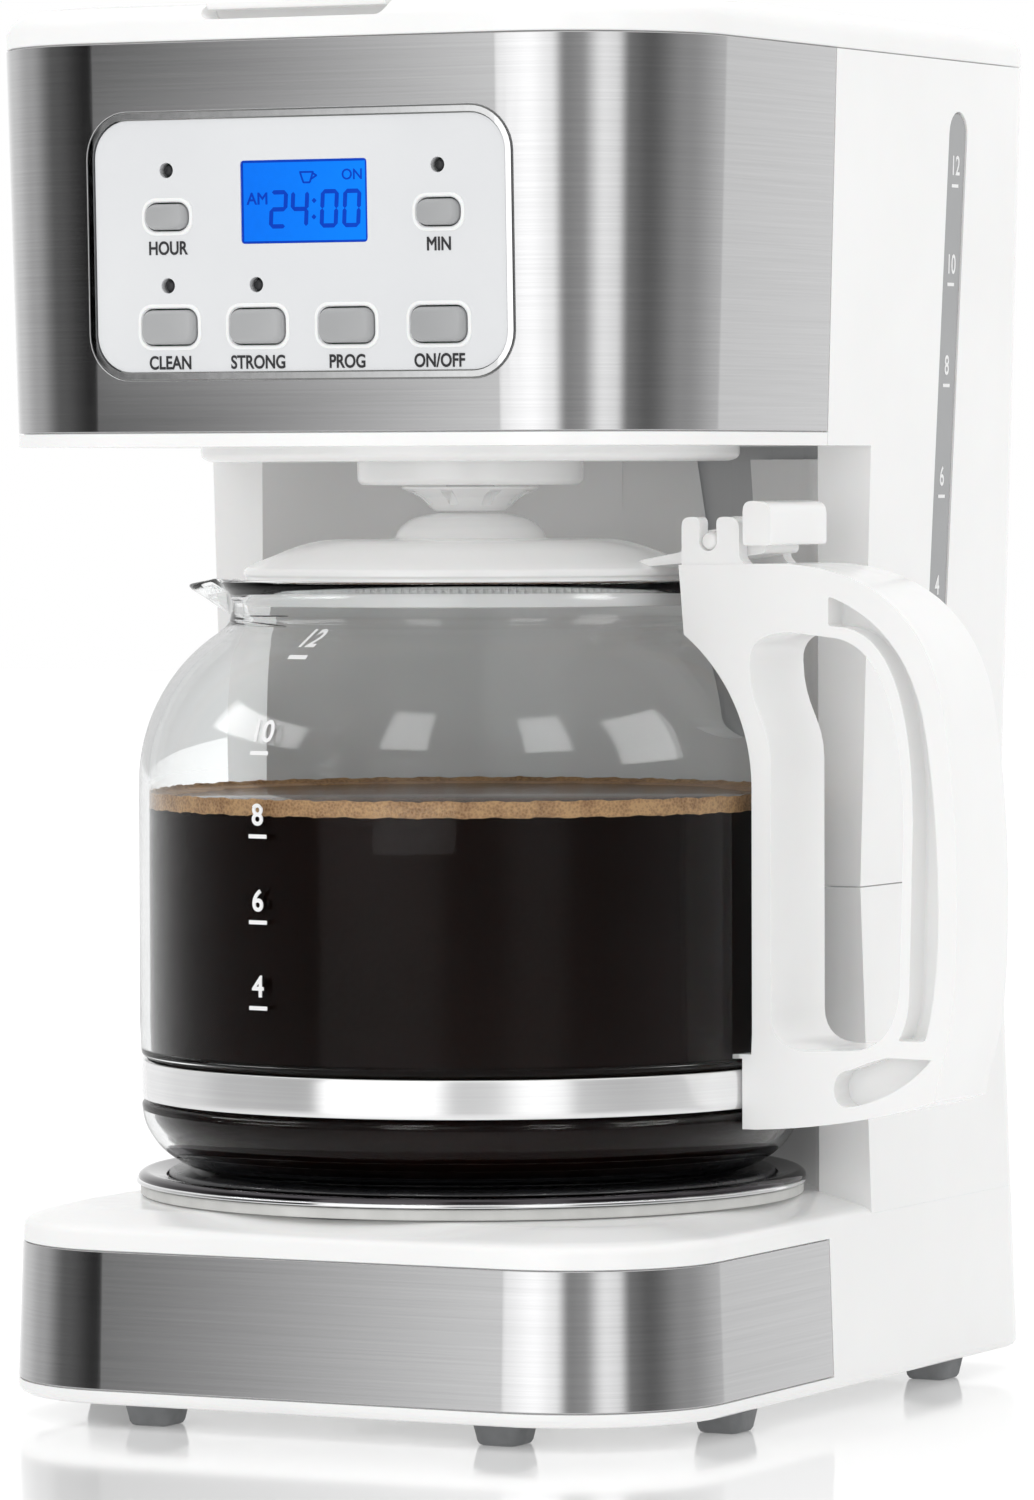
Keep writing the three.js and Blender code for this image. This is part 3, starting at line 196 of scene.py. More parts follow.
def arc(cx, cy, radius, start, end, steps):
    """Points on a circle from start to end degrees."""
    return [
        (cx + radius * math.cos(t), cy + radius * math.sin(t))
        for t in (math.radians(start + (end - start) * i / steps) for i in range(steps + 1))
    ]


def circle(cx, cy, radius, sides=24):
    return arc(cx, cy, radius, 0, 360 - 360 / sides, sides - 1)


def bezier(p0, p1, p2, p3, steps):
    """A cubic curve's points, without its first."""
    points = []
    for i in range(1, steps + 1):
        t = i / steps
        a, b, c, d = (1 - t) ** 3, 3 * t * (1 - t) ** 2, 3 * t * t * (1 - t), t**3
        points.append(tuple(a * p0[k] + b * p1[k] + c * p2[k] + d * p3[k] for k in (0, 1)))
    return points


def soften(points, radius, steps=4, closed=True):
    """A polyline with each corner rounded by about radius, or by the point's own third number."""
    result = []
    count = len(points)
    for i, point in enumerate(points):
        here = Vector(point[:2])
        if not closed and i in (0, count - 1):
            result.append(tuple(here))
            continue
        before, after = Vector(points[i - 1][:2]), Vector(points[(i + 1) % count][:2])
        own = point[2] if len(point) > 2 else radius
        to_before, to_after = before - here, after - here
        reach = min(own, to_before.length * 0.48, to_after.length * 0.48)
        if reach < 1e-3:
            result.append(tuple(here))
            continue
        start, end = here + to_before.normalized() * reach, here + to_after.normalized() * reach
        for k in range(steps + 1):
            t = k / steps
            result.append(tuple((1 - t) ** 2 * start + 2 * t * (1 - t) * here + t * t * end))
    return result


def round_rect(width, height, radius, cx=0.0, cy=0.0, steps=6):
    x, y = width / 2 - radius, height / 2 - radius
    points = []
    for k, (sx, sy) in enumerate(((1, 1), (-1, 1), (-1, -1), (1, -1))):
        points += arc(cx + sx * x, cy + sy * y, radius, 90 * k, 90 * k + 90, steps)
    return points


def apply_modifiers(piece):
    evaluated = piece.evaluated_get(bpy.context.evaluated_depsgraph_get())
    mesh = bpy.data.meshes.new_from_object(evaluated)
    piece.modifiers.clear()
    old, piece.data = piece.data, mesh
    mesh.name = piece.name
    bpy.data.meshes.remove(old)
    return piece


def combine(piece, operation, tools):
    for tool in tools:
        modifier = piece.modifiers.new("combine", "BOOLEAN")
        modifier.operation, modifier.solver, modifier.object = operation, "MANIFOLD", tool
        bpy.context.view_layer.update()
        apply_modifiers(piece)
        bpy.data.objects.remove(tool)
    return piece


def cut(piece, *tools):
    return combine(piece, "DIFFERENCE", tools)


def join(piece, *tools):
    return combine(piece, "UNION", tools)


def keep(piece, *tools):
    return combine(piece, "INTERSECT", tools)


def edge_soft(piece, width=0.4, angle=35, segments=3):
    """Merges flat faces, rounds the hard edges and smooths the rest."""
    work = bmesh.new()
    work.from_mesh(piece.data)
    bmesh.ops.remove_doubles(work, verts=work.verts, dist=1e-6)
    bmesh.ops.dissolve_limit(
        work, angle_limit=math.radians(0.4), verts=work.verts, edges=work.edges, delimit=set()
    )
    work.to_mesh(piece.data)
    work.free()
    piece.data.shade_smooth()
    bevel = piece.modifiers.new("bevel", "BEVEL")
    bevel.width, bevel.segments, bevel.limit_method = width * MM, segments, "ANGLE"
    bevel.angle_limit, bevel.use_clamp_overlap = math.radians(angle), True
    bevel.miter_outer = "MITER_ARC"
    even = piece.modifiers.new("even", "WEIGHTED_NORMAL")
    even.mode, even.weight, even.keep_sharp = "FACE_AREA", 100, False
    return apply_modifiers(piece)


def smooth(piece, angle=40):
    """Smooth shading with hard edges above an angle."""
    piece.data.shade_smooth()
    piece.data.set_sharp_from_angle(angle=math.radians(angle))
    return piece


def settle(piece, body, material, slot, *nodes):
    """Gives a finished piece its material and body, and the CAD nodes that it stands for."""
    piece.data.materials.clear()
    piece.data.materials.append(material)
    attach(piece, body)
    if nodes:
        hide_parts(*nodes)
    return piece


# ---------------------------------------------------------------- the housing's drafted outline


def draft(z):
    return DRAFT_UP * (z - PARTING_Z) if z > PARTING_Z else DRAFT_DOWN * (PARTING_Z - z)


def half_width(z):
    return HALF_WIDTH + draft(z)


def half_depth(z):
    return HALF_DEPTH + draft(z)


def outline(z, inset):
    """The housing's outline at a height, moved in by inset, counter-clockwise from the rear right corner."""
    grow = draft(z) - inset
    x, y = HALF_WIDTH + grow, HALF_DEPTH + grow
    points = []
    for k, (sx, sy) in enumerate(((1, 1), (-1, 1), (-1, -1), (1, -1))):
        nominal, steps = (REAR_RADIUS, REAR_STEPS) if sy > 0 else (FRONT_RADIUS, FRONT_STEPS)
        radius = max(nominal + grow, 0.6)
        corner = arc(sx * (x - radius), sy * (y - radius), radius, 90 * k, 90 * k + 90, steps)
        points += [(a, b, z) for a, b in corner]
    return points


def body_loft(name, levels):
    return loft(name, [outline(z, inset) for z, inset in levels])


def body_solid(name, z0, z1, inset):
    levels = [(z0, inset), (z1, inset)]
    if z0 < PARTING_Z < z1:
        levels.insert(1, (PARTING_Z, inset))
    return body_loft(name, levels)


def body_shell(name, z0, z1, outer, inner):
    return cut(body_solid(name, z0, z1, outer), body_solid("inner", z0 - 1, z1 + 1, inner))


def front_half(y):
    return block("front", -FAR, FAR, -FAR, y, -FAR, FAR)


def rear_half(y):
    return block("rear", -FAR, FAR, y, FAR, -FAR, FAR)


def recess(radius, z0, z1):
    return post(radius, z0, z1, sides=160)


# ---------------------------------------------------------------- materials


class Nodes:
    """A material with short helpers for its node tree."""

    def __init__(self, name):
        self.material = bpy.data.materials.new(name)
        self.material.use_nodes = True
        self.tree = self.material.node_tree
        self.shader = self.tree.nodes["Principled BSDF"]
        self.place = self.node("ShaderNodeTexCoord").outputs["Object"]

    def node(self, kind, **settings):
        made = self.tree.nodes.new(kind)
        for key, value in settings.items():
            if hasattr(made, key):
                setattr(made, key, value)
            else:
                made.inputs[key.replace("_", " ").title()].default_value = value
        return made

    def link(self, source, target):
        self.tree.links.new(source, target)

    def set(self, **values):
        for key, value in values.items():
            self.shader.inputs[key.replace("_", " ").title().replace("Ior", "IOR")].default_value = value

    def noise(self, scale, detail=2.0, rough=0.5, stretch=None):
        """A noise of the given cycles per millimetre, stretched per axis."""
        made = self.node("ShaderNodeTexNoise")
        made.inputs["Scale"].default_value = scale / MM
        made.inputs["Detail"].default_value = detail
        made.inputs["Roughness"].default_value = rough
        source = self.place
        if stretch:
            mapping = self.node("ShaderNodeMapping")
            mapping.inputs["Scale"].default_value = stretch
            self.link(self.place, mapping.inputs["Vector"])
            source = mapping.outputs["Vector"]
        self.link(source, made.inputs["Vector"])
        return made.outputs["Fac"]

    def ramp(self, source, stops):
        made = self.node("ShaderNodeValToRGB")
        elements = made.color_ramp.elements
        while len(elements) < len(stops):
            elements.new(0.5)
        for element, (position, colour) in zip(elements, stops):
            element.position = position
            element.color = (*colour, 1) if len(colour) == 3 else colour
        self.link(source, made.inputs["Fac"])
        return made.outputs["Color"]

    def spread(self, source, low, high, from_low=0.3, from_high=0.7):
        made = self.node("ShaderNodeMapRange")
        for key, value in zip(("From Min", "From Max", "To Min", "To Max"), (from_low, from_high, low, high)):
            made.inputs[key].default_value = value
        self.link(source, made.inputs["Value"])
        return made.outputs["Result"]

    def colour(self, source, dark, light, low=0.3, high=0.7):
        self.link(self.ramp(source, [(low, dark), (high, light)]), self.shader.inputs["Base Color"])

    def roughness(self, source, low, high):
        self.link(self.spread(source, low, high), self.shader.inputs["Roughness"])

    def bump(self, source, height):
        """Bump of a height in millimetres."""
        made = self.node("ShaderNodeBump")
        made.inputs["Strength"].default_value = 1.0
        made.inputs["Distance"].default_value = height * MM
        self.link(source, made.inputs["Height"])
        self.link(made.outputs["Normal"], self.shader.inputs["Normal"])


def plastic(name, dark, light, rough, grain=0.012, fine=1.1, translucence_and_painted_glow=0.0):
    """Moulded plastic: a faint orange peel and slight mottling of the gloss.

    Translucence scatters light under the skin, and the same amount goes in as white emission: a painted glow
    that brightens the plastic as if more light fell on it.
    """
    made = Nodes(name)
    made.set(specular_ior_level=0.5)
    if translucence_and_painted_glow:
        made.set(subsurface_weight=translucence_and_painted_glow, subsurface_scale=2 * MM)
        # painted glow: white emission that lights the plastic from within, though it is no lamp
        made.set(emission_color=(1, 1, 1, 1), emission_strength=translucence_and_painted_glow)
    made.colour(made.noise(0.02, 3), dark, light)
    made.roughness(made.noise(0.09, 4), rough - 0.03, rough + 0.04)
    made.bump(made.noise(fine, 2), grain)
    return made.material


def brushed(name, shade, rough, stretch=(1, 1, 160), strength=0.0006, aniso=0.85, turn=0.25, metal=1.0):
    """Sheet metal brushed along one direction, so that its highlights spread across the brushing."""
    made = Nodes(name)
    made.set(metallic=metal, anisotropic=aniso, anisotropic_rotation=turn)
    lines = made.noise(0.012, 6, 0.7, stretch)
    fine = made.noise(0.03, 4, 0.75, tuple(3 * s if s > 1 else s for s in stretch))
    dark = tuple(c * 0.93 for c in shade)
    light = tuple(min(1, c * 1.05) for c in shade)
    made.colour(lines, dark, light)
    made.roughness(fine, rough - 0.03, rough + 0.03)
    made.bump(fine, strength)
    tangent = made.node("ShaderNodeTangent", direction_type="RADIAL", axis="Z")
    made.link(tangent.outputs["Tangent"], made.shader.inputs["Tangent"])
    return made.material


def polished(name, shade, rough):
    made = Nodes(name)
    made.set(metallic=1.0)
    made.colour(made.noise(0.05, 3), tuple(c * 0.96 for c in shade), shade)
    made.roughness(made.noise(0.4, 4), rough, rough + 0.05)
    made.bump(made.noise(0.5, 2), 0.002)
    return made.material


def clear_glass():
    made = Nodes("clear_glass")
    made.set(transmission_weight=1.0, roughness=0.0, ior=1.22)
    made.colour(made.noise(0.03, 2), (0.955, 0.97, 0.97), (0.985, 0.99, 0.99))
    made.bump(made.noise(0.035, 1), 0.05)
    return made.material


def coffee_liquid():
    """Opaque, near-black coffee with a red-brown cast."""
    made = Nodes("coffee_liquid")
    made.set(roughness=0.3, specular_ior_level=0.0)
    made.colour(made.noise(0.012, 3), (0.0032, 0.0006, 0.0002), (0.0065, 0.0014, 0.0007))
    return made.material


def coffee_foam():
    """Tan crema: small bubbles over brown."""
    made = Nodes("coffee_foam")
    cells = made.node("ShaderNodeTexVoronoi")
    cells.inputs["Scale"].default_value = 1.5 / MM
    made.link(made.place, cells.inputs["Vector"])
    mix = made.node("ShaderNodeMath", operation="MULTIPLY_ADD")
    made.link(cells.outputs["Distance"], mix.inputs[0])
    mix.inputs[1].default_value = 0.6
    made.link(made.noise(0.18, 4), mix.inputs[2])
    made.colour(mix.outputs["Value"], (0.20, 0.085, 0.028), (0.60, 0.36, 0.17), 0.35, 1.0)
    made.set(roughness=0.45)
    made.bump(cells.outputs["Distance"], 0.12)
    return made.material


def surface_liquid():
    """The coffee's top inside the ring of foam: a swirled brown film."""
    made = Nodes("coffee_surface")
    made.set(roughness=0.12, specular_ior_level=0.35)
    swirl = made.noise(0.035, 5, 0.6)
    made.colour(swirl, (0.055, 0.022, 0.009), (0.20, 0.095, 0.038), 0.35, 0.75)
    made.bump(made.noise(0.5, 3), 0.03)
    return made.material


def glow(name, dark, light, strength):
    """A backlit display: a blue field that brightens to one side."""
    made = Nodes(name)
    split = made.node("ShaderNodeSeparateXYZ")
    made.link(made.place, split.inputs["Vector"])
    across = made.spread(split.outputs["X"], 0, 1, (MID_X - 14) * MM, (MID_X + 18) * MM)
    made.link(made.ramp(across, [(0, dark), (1, light)]), made.shader.inputs["Emission Color"])
    made.colour(made.noise(0.5, 2), (0.0, 0.012, 0.10), (0.0, 0.02, 0.14))
    made.set(emission_strength=strength, roughness=0.3, specular_ior_level=0.12)
    return made.material


def rubber(name, dark, light, rough=0.7):
    made = Nodes(name)
    made.colour(made.noise(0.12, 4), dark, light)
    made.roughness(made.noise(0.5, 4), rough - 0.08, rough + 0.08)
    made.bump(made.noise(1.6, 3), 0.03)
    return made.material


# Subsurface scatter plus a painted glow (white emission) for the white plastics
SCATTER_AND_PAINTED_GLOW = {"translucence_and_painted_glow": 0.06}
WHITE = plastic("white_plastic", (0.86, 0.86, 0.855), (0.90, 0.90, 0.895), 0.2, **SCATTER_AND_PAINTED_GLOW)
CARAFE_WHITE = plastic("carafe_white_plastic", (0.87, 0.87, 0.865), (0.91, 0.91, 0.905), 0.16, 0.008, **SCATTER_AND_PAINTED_GLOW)
PANEL_GREY = plastic("panel_plastic", (0.74, 0.75, 0.765), (0.78, 0.79, 0.80), 0.42, 0.02, 2.2)
BUTTON_GREY = plastic("button_plastic", (0.37, 0.375, 0.38), (0.46, 0.465, 0.47), 0.3, 0.01, 1.5)
WINDOW_GREY = plastic("window_plastic", (0.34, 0.345, 0.35), (0.38, 0.385, 0.39), 0.16)
TANK_PLASTIC = plastic("tank_plastic", (0.70, 0.71, 0.72), (0.76, 0.77, 0.78), 0.35, 0.02)
BLACK = plastic("black_plastic", (0.012, 0.012, 0.014), (0.03, 0.03, 0.033), 0.4, 0.02)
DARK_PLATE = plastic("plate_coating", (0.018, 0.018, 0.02), (0.035, 0.035, 0.038), 0.28, 0.01, 2.5)
INK = plastic("print_ink", (0.015, 0.015, 0.017), (0.03, 0.03, 0.034), 0.5, 0.004, 3.0)
WHITE_INK = plastic("white_ink", (0.88, 0.88, 0.88), (0.93, 0.93, 0.93), 0.45, 0.004, 3.0)
BOARD = plastic("circuit_board", (0.03, 0.14, 0.06), (0.05, 0.2, 0.09), 0.45, 0.05, 0.6)
SILICONE = rubber("silicone", (0.62, 0.62, 0.60), (0.72, 0.72, 0.70), 0.5)
RUBBER = rubber("grey_rubber", (0.17, 0.175, 0.18), (0.24, 0.245, 0.25))
STEEL = brushed("brushed_steel", (0.64, 0.64, 0.645), 0.17)
# Near-white colour with part of it diffuse instead of metal: a painted sheen that keeps the band bright as if
# it mirrored bright light
BAND_STEEL_PAINTED_SHEEN = brushed("band_steel_with_painted_sheen", (0.96, 0.96, 0.97), 0.2, metal=0.6)
SATIN = brushed("satin_metal", (0.62, 0.625, 0.63), 0.34, (40, 40, 1), 0.003, 0.2, 0.0)
CHROME = polished("chrome", (0.86, 0.865, 0.87), 0.05)
# Chrome with its colour darkened to near black: a painted dark reflection of the coffee and shade that the
# trim ring mirrors
CHROME_PAINTED_DARK = polished("chrome_painted_dark_reflection", (0.07, 0.065, 0.07), 0.07)
GLASS = clear_glass()
COFFEE = coffee_liquid()
FOAM = coffee_foam()
COFFEE_TOP = surface_liquid()
LCD_BLUE = glow("display_blue", (0.0, 0.17, 0.86), (0.0, 0.235, 0.97), 0.95)
LCD_DIGIT = glow("display_digits", (0.0, 0.035, 0.42), (0.0, 0.045, 0.50), 0.9)


# ---------------------------------------------------------------- housing


def lower_housing():
    edge = BASE_TOP - 4.5
    shell = body_loft(
        "lower_housing_shell",
        [
            (FOOT_TOP, 1.6), (FOOT_TOP + 0.5, 0.7), (FOOT_TOP + 1.3, 0.1), (FOOT_TOP + 2, 0),
            (edge - 0.6, 0), (edge + 0.2, 0.15), (edge + 0.9, 0.7), (edge + 1.5, 1.7), (edge + 2.1, 3.6),
            (BASE_TOP - 0.7, 10.5), (BASE_TOP - 0.2, 12.6), (BASE_TOP, 14.6),
        ],
    )
    column = keep(body_solid("column", edge, PARTING_Z - GAP / 2, 0), rear_half(COLUMN_Y))
    join(shell, cut(column, recess(RECESS_RADIUS, BASE_TOP, FAR)))
    hollow = body_loft("hollow", [(FOOT_TOP - 1, 4.3), (edge - WALL, 4.3), (BASE_TOP - WALL, 16)])
    column_hollow = body_solid("column_hollow", edge - WALL - 1, PARTING_Z + 1, WALL)
    cut(keep(column_hollow, rear_half(COLUMN_Y + WALL)), recess(RECESS_RADIUS + WALL, 0, FAR))
    seat = keep(
        body_shell("seat", BASE_WRAP_Z - GAP, BASE_WRAP_TOP + GAP, -WALL, SKIN + GAP),
        front_half(SEAM_Y + GAP),
    )
    plate_hole = post(span("warming_plate")[1].y - AXIS_Y + 2, 35, 60)
    cut(shell, hollow, column_hollow, seat, plate_hole)
    edge_soft(shell, 0.35)
    return settle(shell, "housing", WHITE, "white_plastic", "lower_housing")


def window_outline(grow):
    """The level window in y and z: a leaning strip with round ends."""
    bottom, top = WINDOW_LOW.z - GAP + WINDOW_HALF, WINDOW_HIGH.z + GAP - WINDOW_HALF
    top_y = WINDOW_HIGH.y + GAP - WINDOW_HALF
    bottom_y = top_y - (top - bottom) * WINDOW_LEAN
    tilt = math.degrees(math.atan(WINDOW_LEAN))
    radius = WINDOW_HALF + grow
    upper = arc(top_y, top, radius, -tilt, 180 - tilt, 12)
    return upper + arc(bottom_y, bottom, radius, 180 - tilt, 360 - tilt, 12)


def upper_housing():
    shell = keep(body_solid("upper_housing_shell", HEAD_Z, HEAD_TOP - GAP, 0), rear_half(SEAM_Y))
    join(shell, keep(body_solid("column", PARTING_Z + GAP / 2, HEAD_Z + 1, 0), rear_half(COLUMN_Y)))
    column_hollow = cut(
        keep(body_solid("hollow", PARTING_Z - 1, FAR, WALL), rear_half(COLUMN_Y + WALL)),
        recess(RECESS_RADIUS + WALL, 0, STEP_Z + GAP),
    )
    head_hollow = keep(body_solid("head_hollow", HEAD_WRAP_Z, FAR, WALL), rear_half(SEAM_Y - 5))
    cut(
        shell, recess(RECESS_RADIUS, 0, FAR), column_hollow, head_hollow,
        prism("window", window_outline(0), "x", 0, FAR),
    )
    edge_soft(shell, 0.35)
    return settle(shell, "housing", WHITE, "white_plastic", "upper_housing")


def level_window():
    strip = keep(
        body_shell("level_window", WINDOW_LOW.z - 5, HEAD_TOP, 0.35, WALL),
        prism("strip", window_outline(-GAP), "x", 0, FAR),
    )
    edge_soft(strip, 0.25)
    return settle(strip, "housing", WINDOW_GREY, "smoke_window", "tank_window")


def panel_outline(grow=0.0):
    return round_rect(PANEL_WIDTH + 2 * grow, PANEL_HEIGHT + 2 * grow, 10 + grow, PANEL_X, PANEL_Z, 10)


def through_front(shape):
    return prism("through", shape, "y", -FAR, AXIS_Y)


def brew_bowl(name, grow, top):
    """The bowl under the head that the basket stands in, grown by its wall for the outside."""
    floor_z = HEAD_Z + 3 - grow
    shape = [(0, floor_z), (29 + grow, floor_z), (58 + grow, floor_z + 12), (63 + grow, top), (0, top)]
    return turned(name, shape)


def head_front():
    """The white part of the head behind and under the steel skin, with the brew bowl."""
    behind, ahead = SKIN + GAP, SEAM_Y - GAP
    deck_z = span("filter_basket")[1].z + 1.4
    deck_top = deck_z + 2.5
    shell = keep(body_solid("head_front_shell", HEAD_Z, HEAD_WRAP_Z - GAP, 0), front_half(ahead))
    rim = [(0, STEP_Z, 0), (60, STEP_Z), (62, STEP_Z + 1), (62, HEAD_Z + 1, 0), (0, HEAD_Z + 1, 0)]
    step = turned("step", soften(rim, 1.0), 128)
    wall = keep(body_shell("wall", HEAD_Z, HEAD_TOP - GAP, behind, behind + 2.5), front_half(ahead))
    deck = keep(body_solid("deck", deck_z, deck_top, WALL + 1), front_half(43))
    round_front = recess(RECESS_RADIUS - GAP, HEAD_Z, HEAD_WRAP_Z - GAP)
    join(shell, round_front, step, wall, deck, brew_bowl("bowl", 2.2, deck_top))
    panel_hole = through_front(panel_outline(GAP))
    cut(shell, brew_bowl("inside", 0, deck_top), post(27, 0, FAR), recess(63, deck_z, FAR), panel_hole)
    edge_soft(shell, 0.3)
    return settle(shell, "housing", WHITE, "white_plastic", "head_shell")


def steel_skin(name, node, z0, z1, opening=None):
    skin = keep(body_shell(name, z0, z1, 0, SKIN), front_half(span(node)[1].y))
    if opening:
        cut(skin, through_front(opening))
    edge_soft(skin, 0.22, segments=2)
    return settle(skin, "housing", STEEL, "brushed_steel", node)


def hinge_pins(half, inside, outside):
    """The pair of hinge pins as tools, reaching inside and outside the hinge's half width."""
    pins = []
    for side in (1, -1):
        ends = sorted((side * (half - inside), side * (half + outside)))
        pins.append(prism("pin", circle(HINGE_Y, HINGE_Z, 1.75), "x", *ends))
    return pins


def cap_frame():
    z0 = HEAD_TOP
    frame_ring = body_loft(
        "cap_frame",
        [
            (z0, 0.25), (z0 + 0.3, 0), (z0 + 3.2, 0.1), (z0 + 4.6, 0.5), (z0 + 5.8, 1.3),
            (z0 + 6.8, 2.5), (z0 + 7.6, 4.1), (CAP_TOP, 6.4),
        ],
    )
    inset = LID_INSET - GAP
    half = half_width(HINGE_Z) - inset
    opening = keep(body_loft("opening", [(z0 - 1, inset), (FAR, inset)]), front_half(HINGE_Y))
    join(opening, block("back", -half, half, HINGE_Y - 5, HINGE_Y + 4 + GAP, 0, FAR))
    notch = prism("notch", round_rect(NOTCH, 12, 2.5, 0, CAP_TOP + 2.2), "y", -FAR, -half_depth(z0) + 13)
    cut(frame_ring, opening, notch, *hinge_pins(half, 8, 6.5))
    edge_soft(frame_ring, 0.35)
    return settle(frame_ring, "housing", WHITE, "white_plastic", "top_cap")


def lid_cover():
    half, z = half_width(HINGE_Z) - LID_INSET, LID_TOP
    levels = [(LID_LOW, 9), (z - 1.6, 9), (z - 0.8, 9.35), (z - 0.25, 10.4), (z, 12.5)]
    plate = keep(body_loft("lid_cover", levels), front_half(HINGE_Y))
    cut(plate, keep(body_loft("pocket", [(LID_LOW - 1, 11.5), (z - 2.5, 11.5)]), front_half(HINGE_Y)))
    tip, root = 3 - half_depth(z), -85
    section = soften([(tip, z - 2), (tip, z), (root, z), (root, z - 2)], 0.8)
    tongue = prism("tongue", section, "x", -NOTCH / 2 + 1, NOTCH / 2 - 1)
    join(plate, tongue, prism("barrel", circle(HINGE_Y, HINGE_Z, 4, 36), "x", -half, half))
    cut(plate, *hinge_pins(half, 6.5, 1))
    edge_soft(plate, 0.3)
    return settle(plate, "lid", WHITE, "white_plastic", "lid")


def foot(index):
    low, high = span(f"foot_{index}")
    x, y = (low.x + high.x) / 2 - MID_X, (low.y + high.y) / 2
    top = FOOT_TOP - GAP
    levels = [(0.0, 4.0, 1.2), (0.25, 4.7, 1.8), (1.0, 5.2, 2.2), (top - 0.4, 5.95, 2.4), (top, 5.7, 2.2)]
    rings = [[(a, b, z) for a, b in round_rect(2 * r, 2 * r, c, x, y, 5)] for z, r, c in levels]
    body = loft(f"foot_pad_{index}", rings)
    join(body, post(2.4, top - 1, high.z, x, y, 24))
    smooth(body, 30)
    return settle(body, "housing", RUBBER, "rubber", f"foot_{index}")


# ---------------------------------------------------------------- warming plate


def plate_ring(name, profile, radius, sides, *look):
    """One smooth turned part of the warming plate."""
    return settle(smooth(turned(name, soften(profile, radius), sides)), "housing", *look)


def warming_plate():
    edge, z = span("warming_plate")[1].y - AXIS_Y, PLATE_TOP
    disc = [
        (0, z - 2, 0), (edge - 4, z - 2), (edge - 3, z - 5), (edge, z - 5), (edge, z, 1.2),
        (edge - 5, z, 0.6), (edge - 6, z - 0.5), (edge - 9, z - 0.5), (edge - 10, z, 0.6), (0, z, 0),
    ]
    plate_ring("warming_plate_disc", disc, 0.6, 128, DARK_PLATE, "plate_metal", "warming_plate")
    inner, outer = edge + 0.5, span("trim_ring")[1].y - AXIS_Y
    low, high = BASE_TOP + GAP, span("plate_seal")[1].z
    seal = [(inner, low), (outer - 0.5, low), (outer - 0.5, high), (inner, high)]
    plate_ring("plate_seal_ring", seal, 0.5, 128, SILICONE, "silicone", "plate_seal")
    low = span("trim_ring")[0].z
    trim = [
        (inner, low + 0.6), (outer, low + 0.6), (outer, z - 1.1, 1.0), (outer - 1.4, z, 0.9),
        (outer - 3.4, z - 0.4), (inner, z - 1.0),
    ]
    # The band's near-black look is a painted dark reflection in its colour, not a black finish
    plate_ring("trim_ring_band", trim, 0.35, 160, CHROME_PAINTED_DARK, "chrome", "trim_ring")
    lip = [
        (inner, low), (outer + 0.5, low), (outer + 0.5, low + 0.7), (outer - 0.2, low + 1.1),
        (inner, low + 0.5),
    ]
    plate_ring("trim_ring_lip", lip, 0.3, 160, CHROME, "chrome")


# ---------------------------------------------------------------- controls


def face_y(x, z, inset):
    """The housing's front surface at (x, z), moved in by inset."""
    grow = draft(z) - inset
    flat = HALF_WIDTH + grow - (FRONT_RADIUS + grow)
    radius = FRONT_RADIUS + grow
    over = max(abs(x) - flat, 0)
    return -(HALF_DEPTH + grow) + radius - math.sqrt(max(radius * radius - over * over, 0))


def panel_band(name, outer, inner):
    return body_shell(name, PANEL_Z - PANEL_HEIGHT, HEAD_TOP, outer, inner)


def bezel():
    ring = keep(panel_band("bezel_ring", -0.3, SKIN + 3), through_front(panel_outline(0)))
    cut(ring, through_front(panel_outline(-1.3)))
    edge_soft(ring, 0.3, segments=3)
    return settle(ring, "housing", CHROME, "chrome", "panel_bezel")


def place_of(node):
    low, high = span(node)
    return (low.x + high.x) / 2 - MID_X, (low.z + high.z) / 2, high.x - low.x, high.z - low.z


BUTTON_WORDS = {
    "hour_button": "HOUR", "minute_button": "MIN", "clean_button": "CLEAN", "strong_button": "STRONG",
    "program_button": "PROG", "power_button": "ON/OFF",
}
LAMPS = ["hour_lamp", "minute_lamp", "clean_lamp", "strong_lamp"]
LCD_X, LCD_Z, LCD_W, LCD_H = place_of("lcd_lens")


def control_face():
    face = keep(panel_band("control_face", 0.2, 2.7), through_front(panel_outline(-1.6)))
    holes = [through_front(round_rect(LCD_W + 0.6, LCD_H + 0.6, 0.8, LCD_X, LCD_Z, 3))]
    for node in BUTTON_WORDS:
        x, z, w, h = place_of(node)
        holes.append(through_front(round_rect(w + 0.6, h + 0.6, 2.7, x, z, 6)))
    for node in LAMPS:
        holes.append(through_front(circle(*place_of(node)[:2], 1.7)))
    cut(face, *holes)
    edge_soft(face, 0.35, segments=3)
    return settle(face, "housing", PANEL_GREY, "panel_plastic", "control_panel")


def push_button(node):
    """A crowned key with a round-cornered rim."""
    x, z, w, h = place_of(node)
    low, high = span(node)
    front, back = low.y, high.y
    rings = []
    rows = [(back, 0.0), (front + 1.0, 0.0), (front + 0.1, 0.25), (front - 0.35, 0.7), (front - 0.5, 1.2)]
    for y, inset in rows:
        rim = round_rect(w - 2 * inset, h - 1.5 * inset, 2.4 - inset * 0.7, x - 0.5 * inset, z, 8)
        rings.append([(a, y + 0.03 * (b - z), b) for a, b in rim])
    key = loft(f"{node}_key", rings)
    smooth(key, 60)
    return settle(key, node, BUTTON_GREY, "button_silver", node)


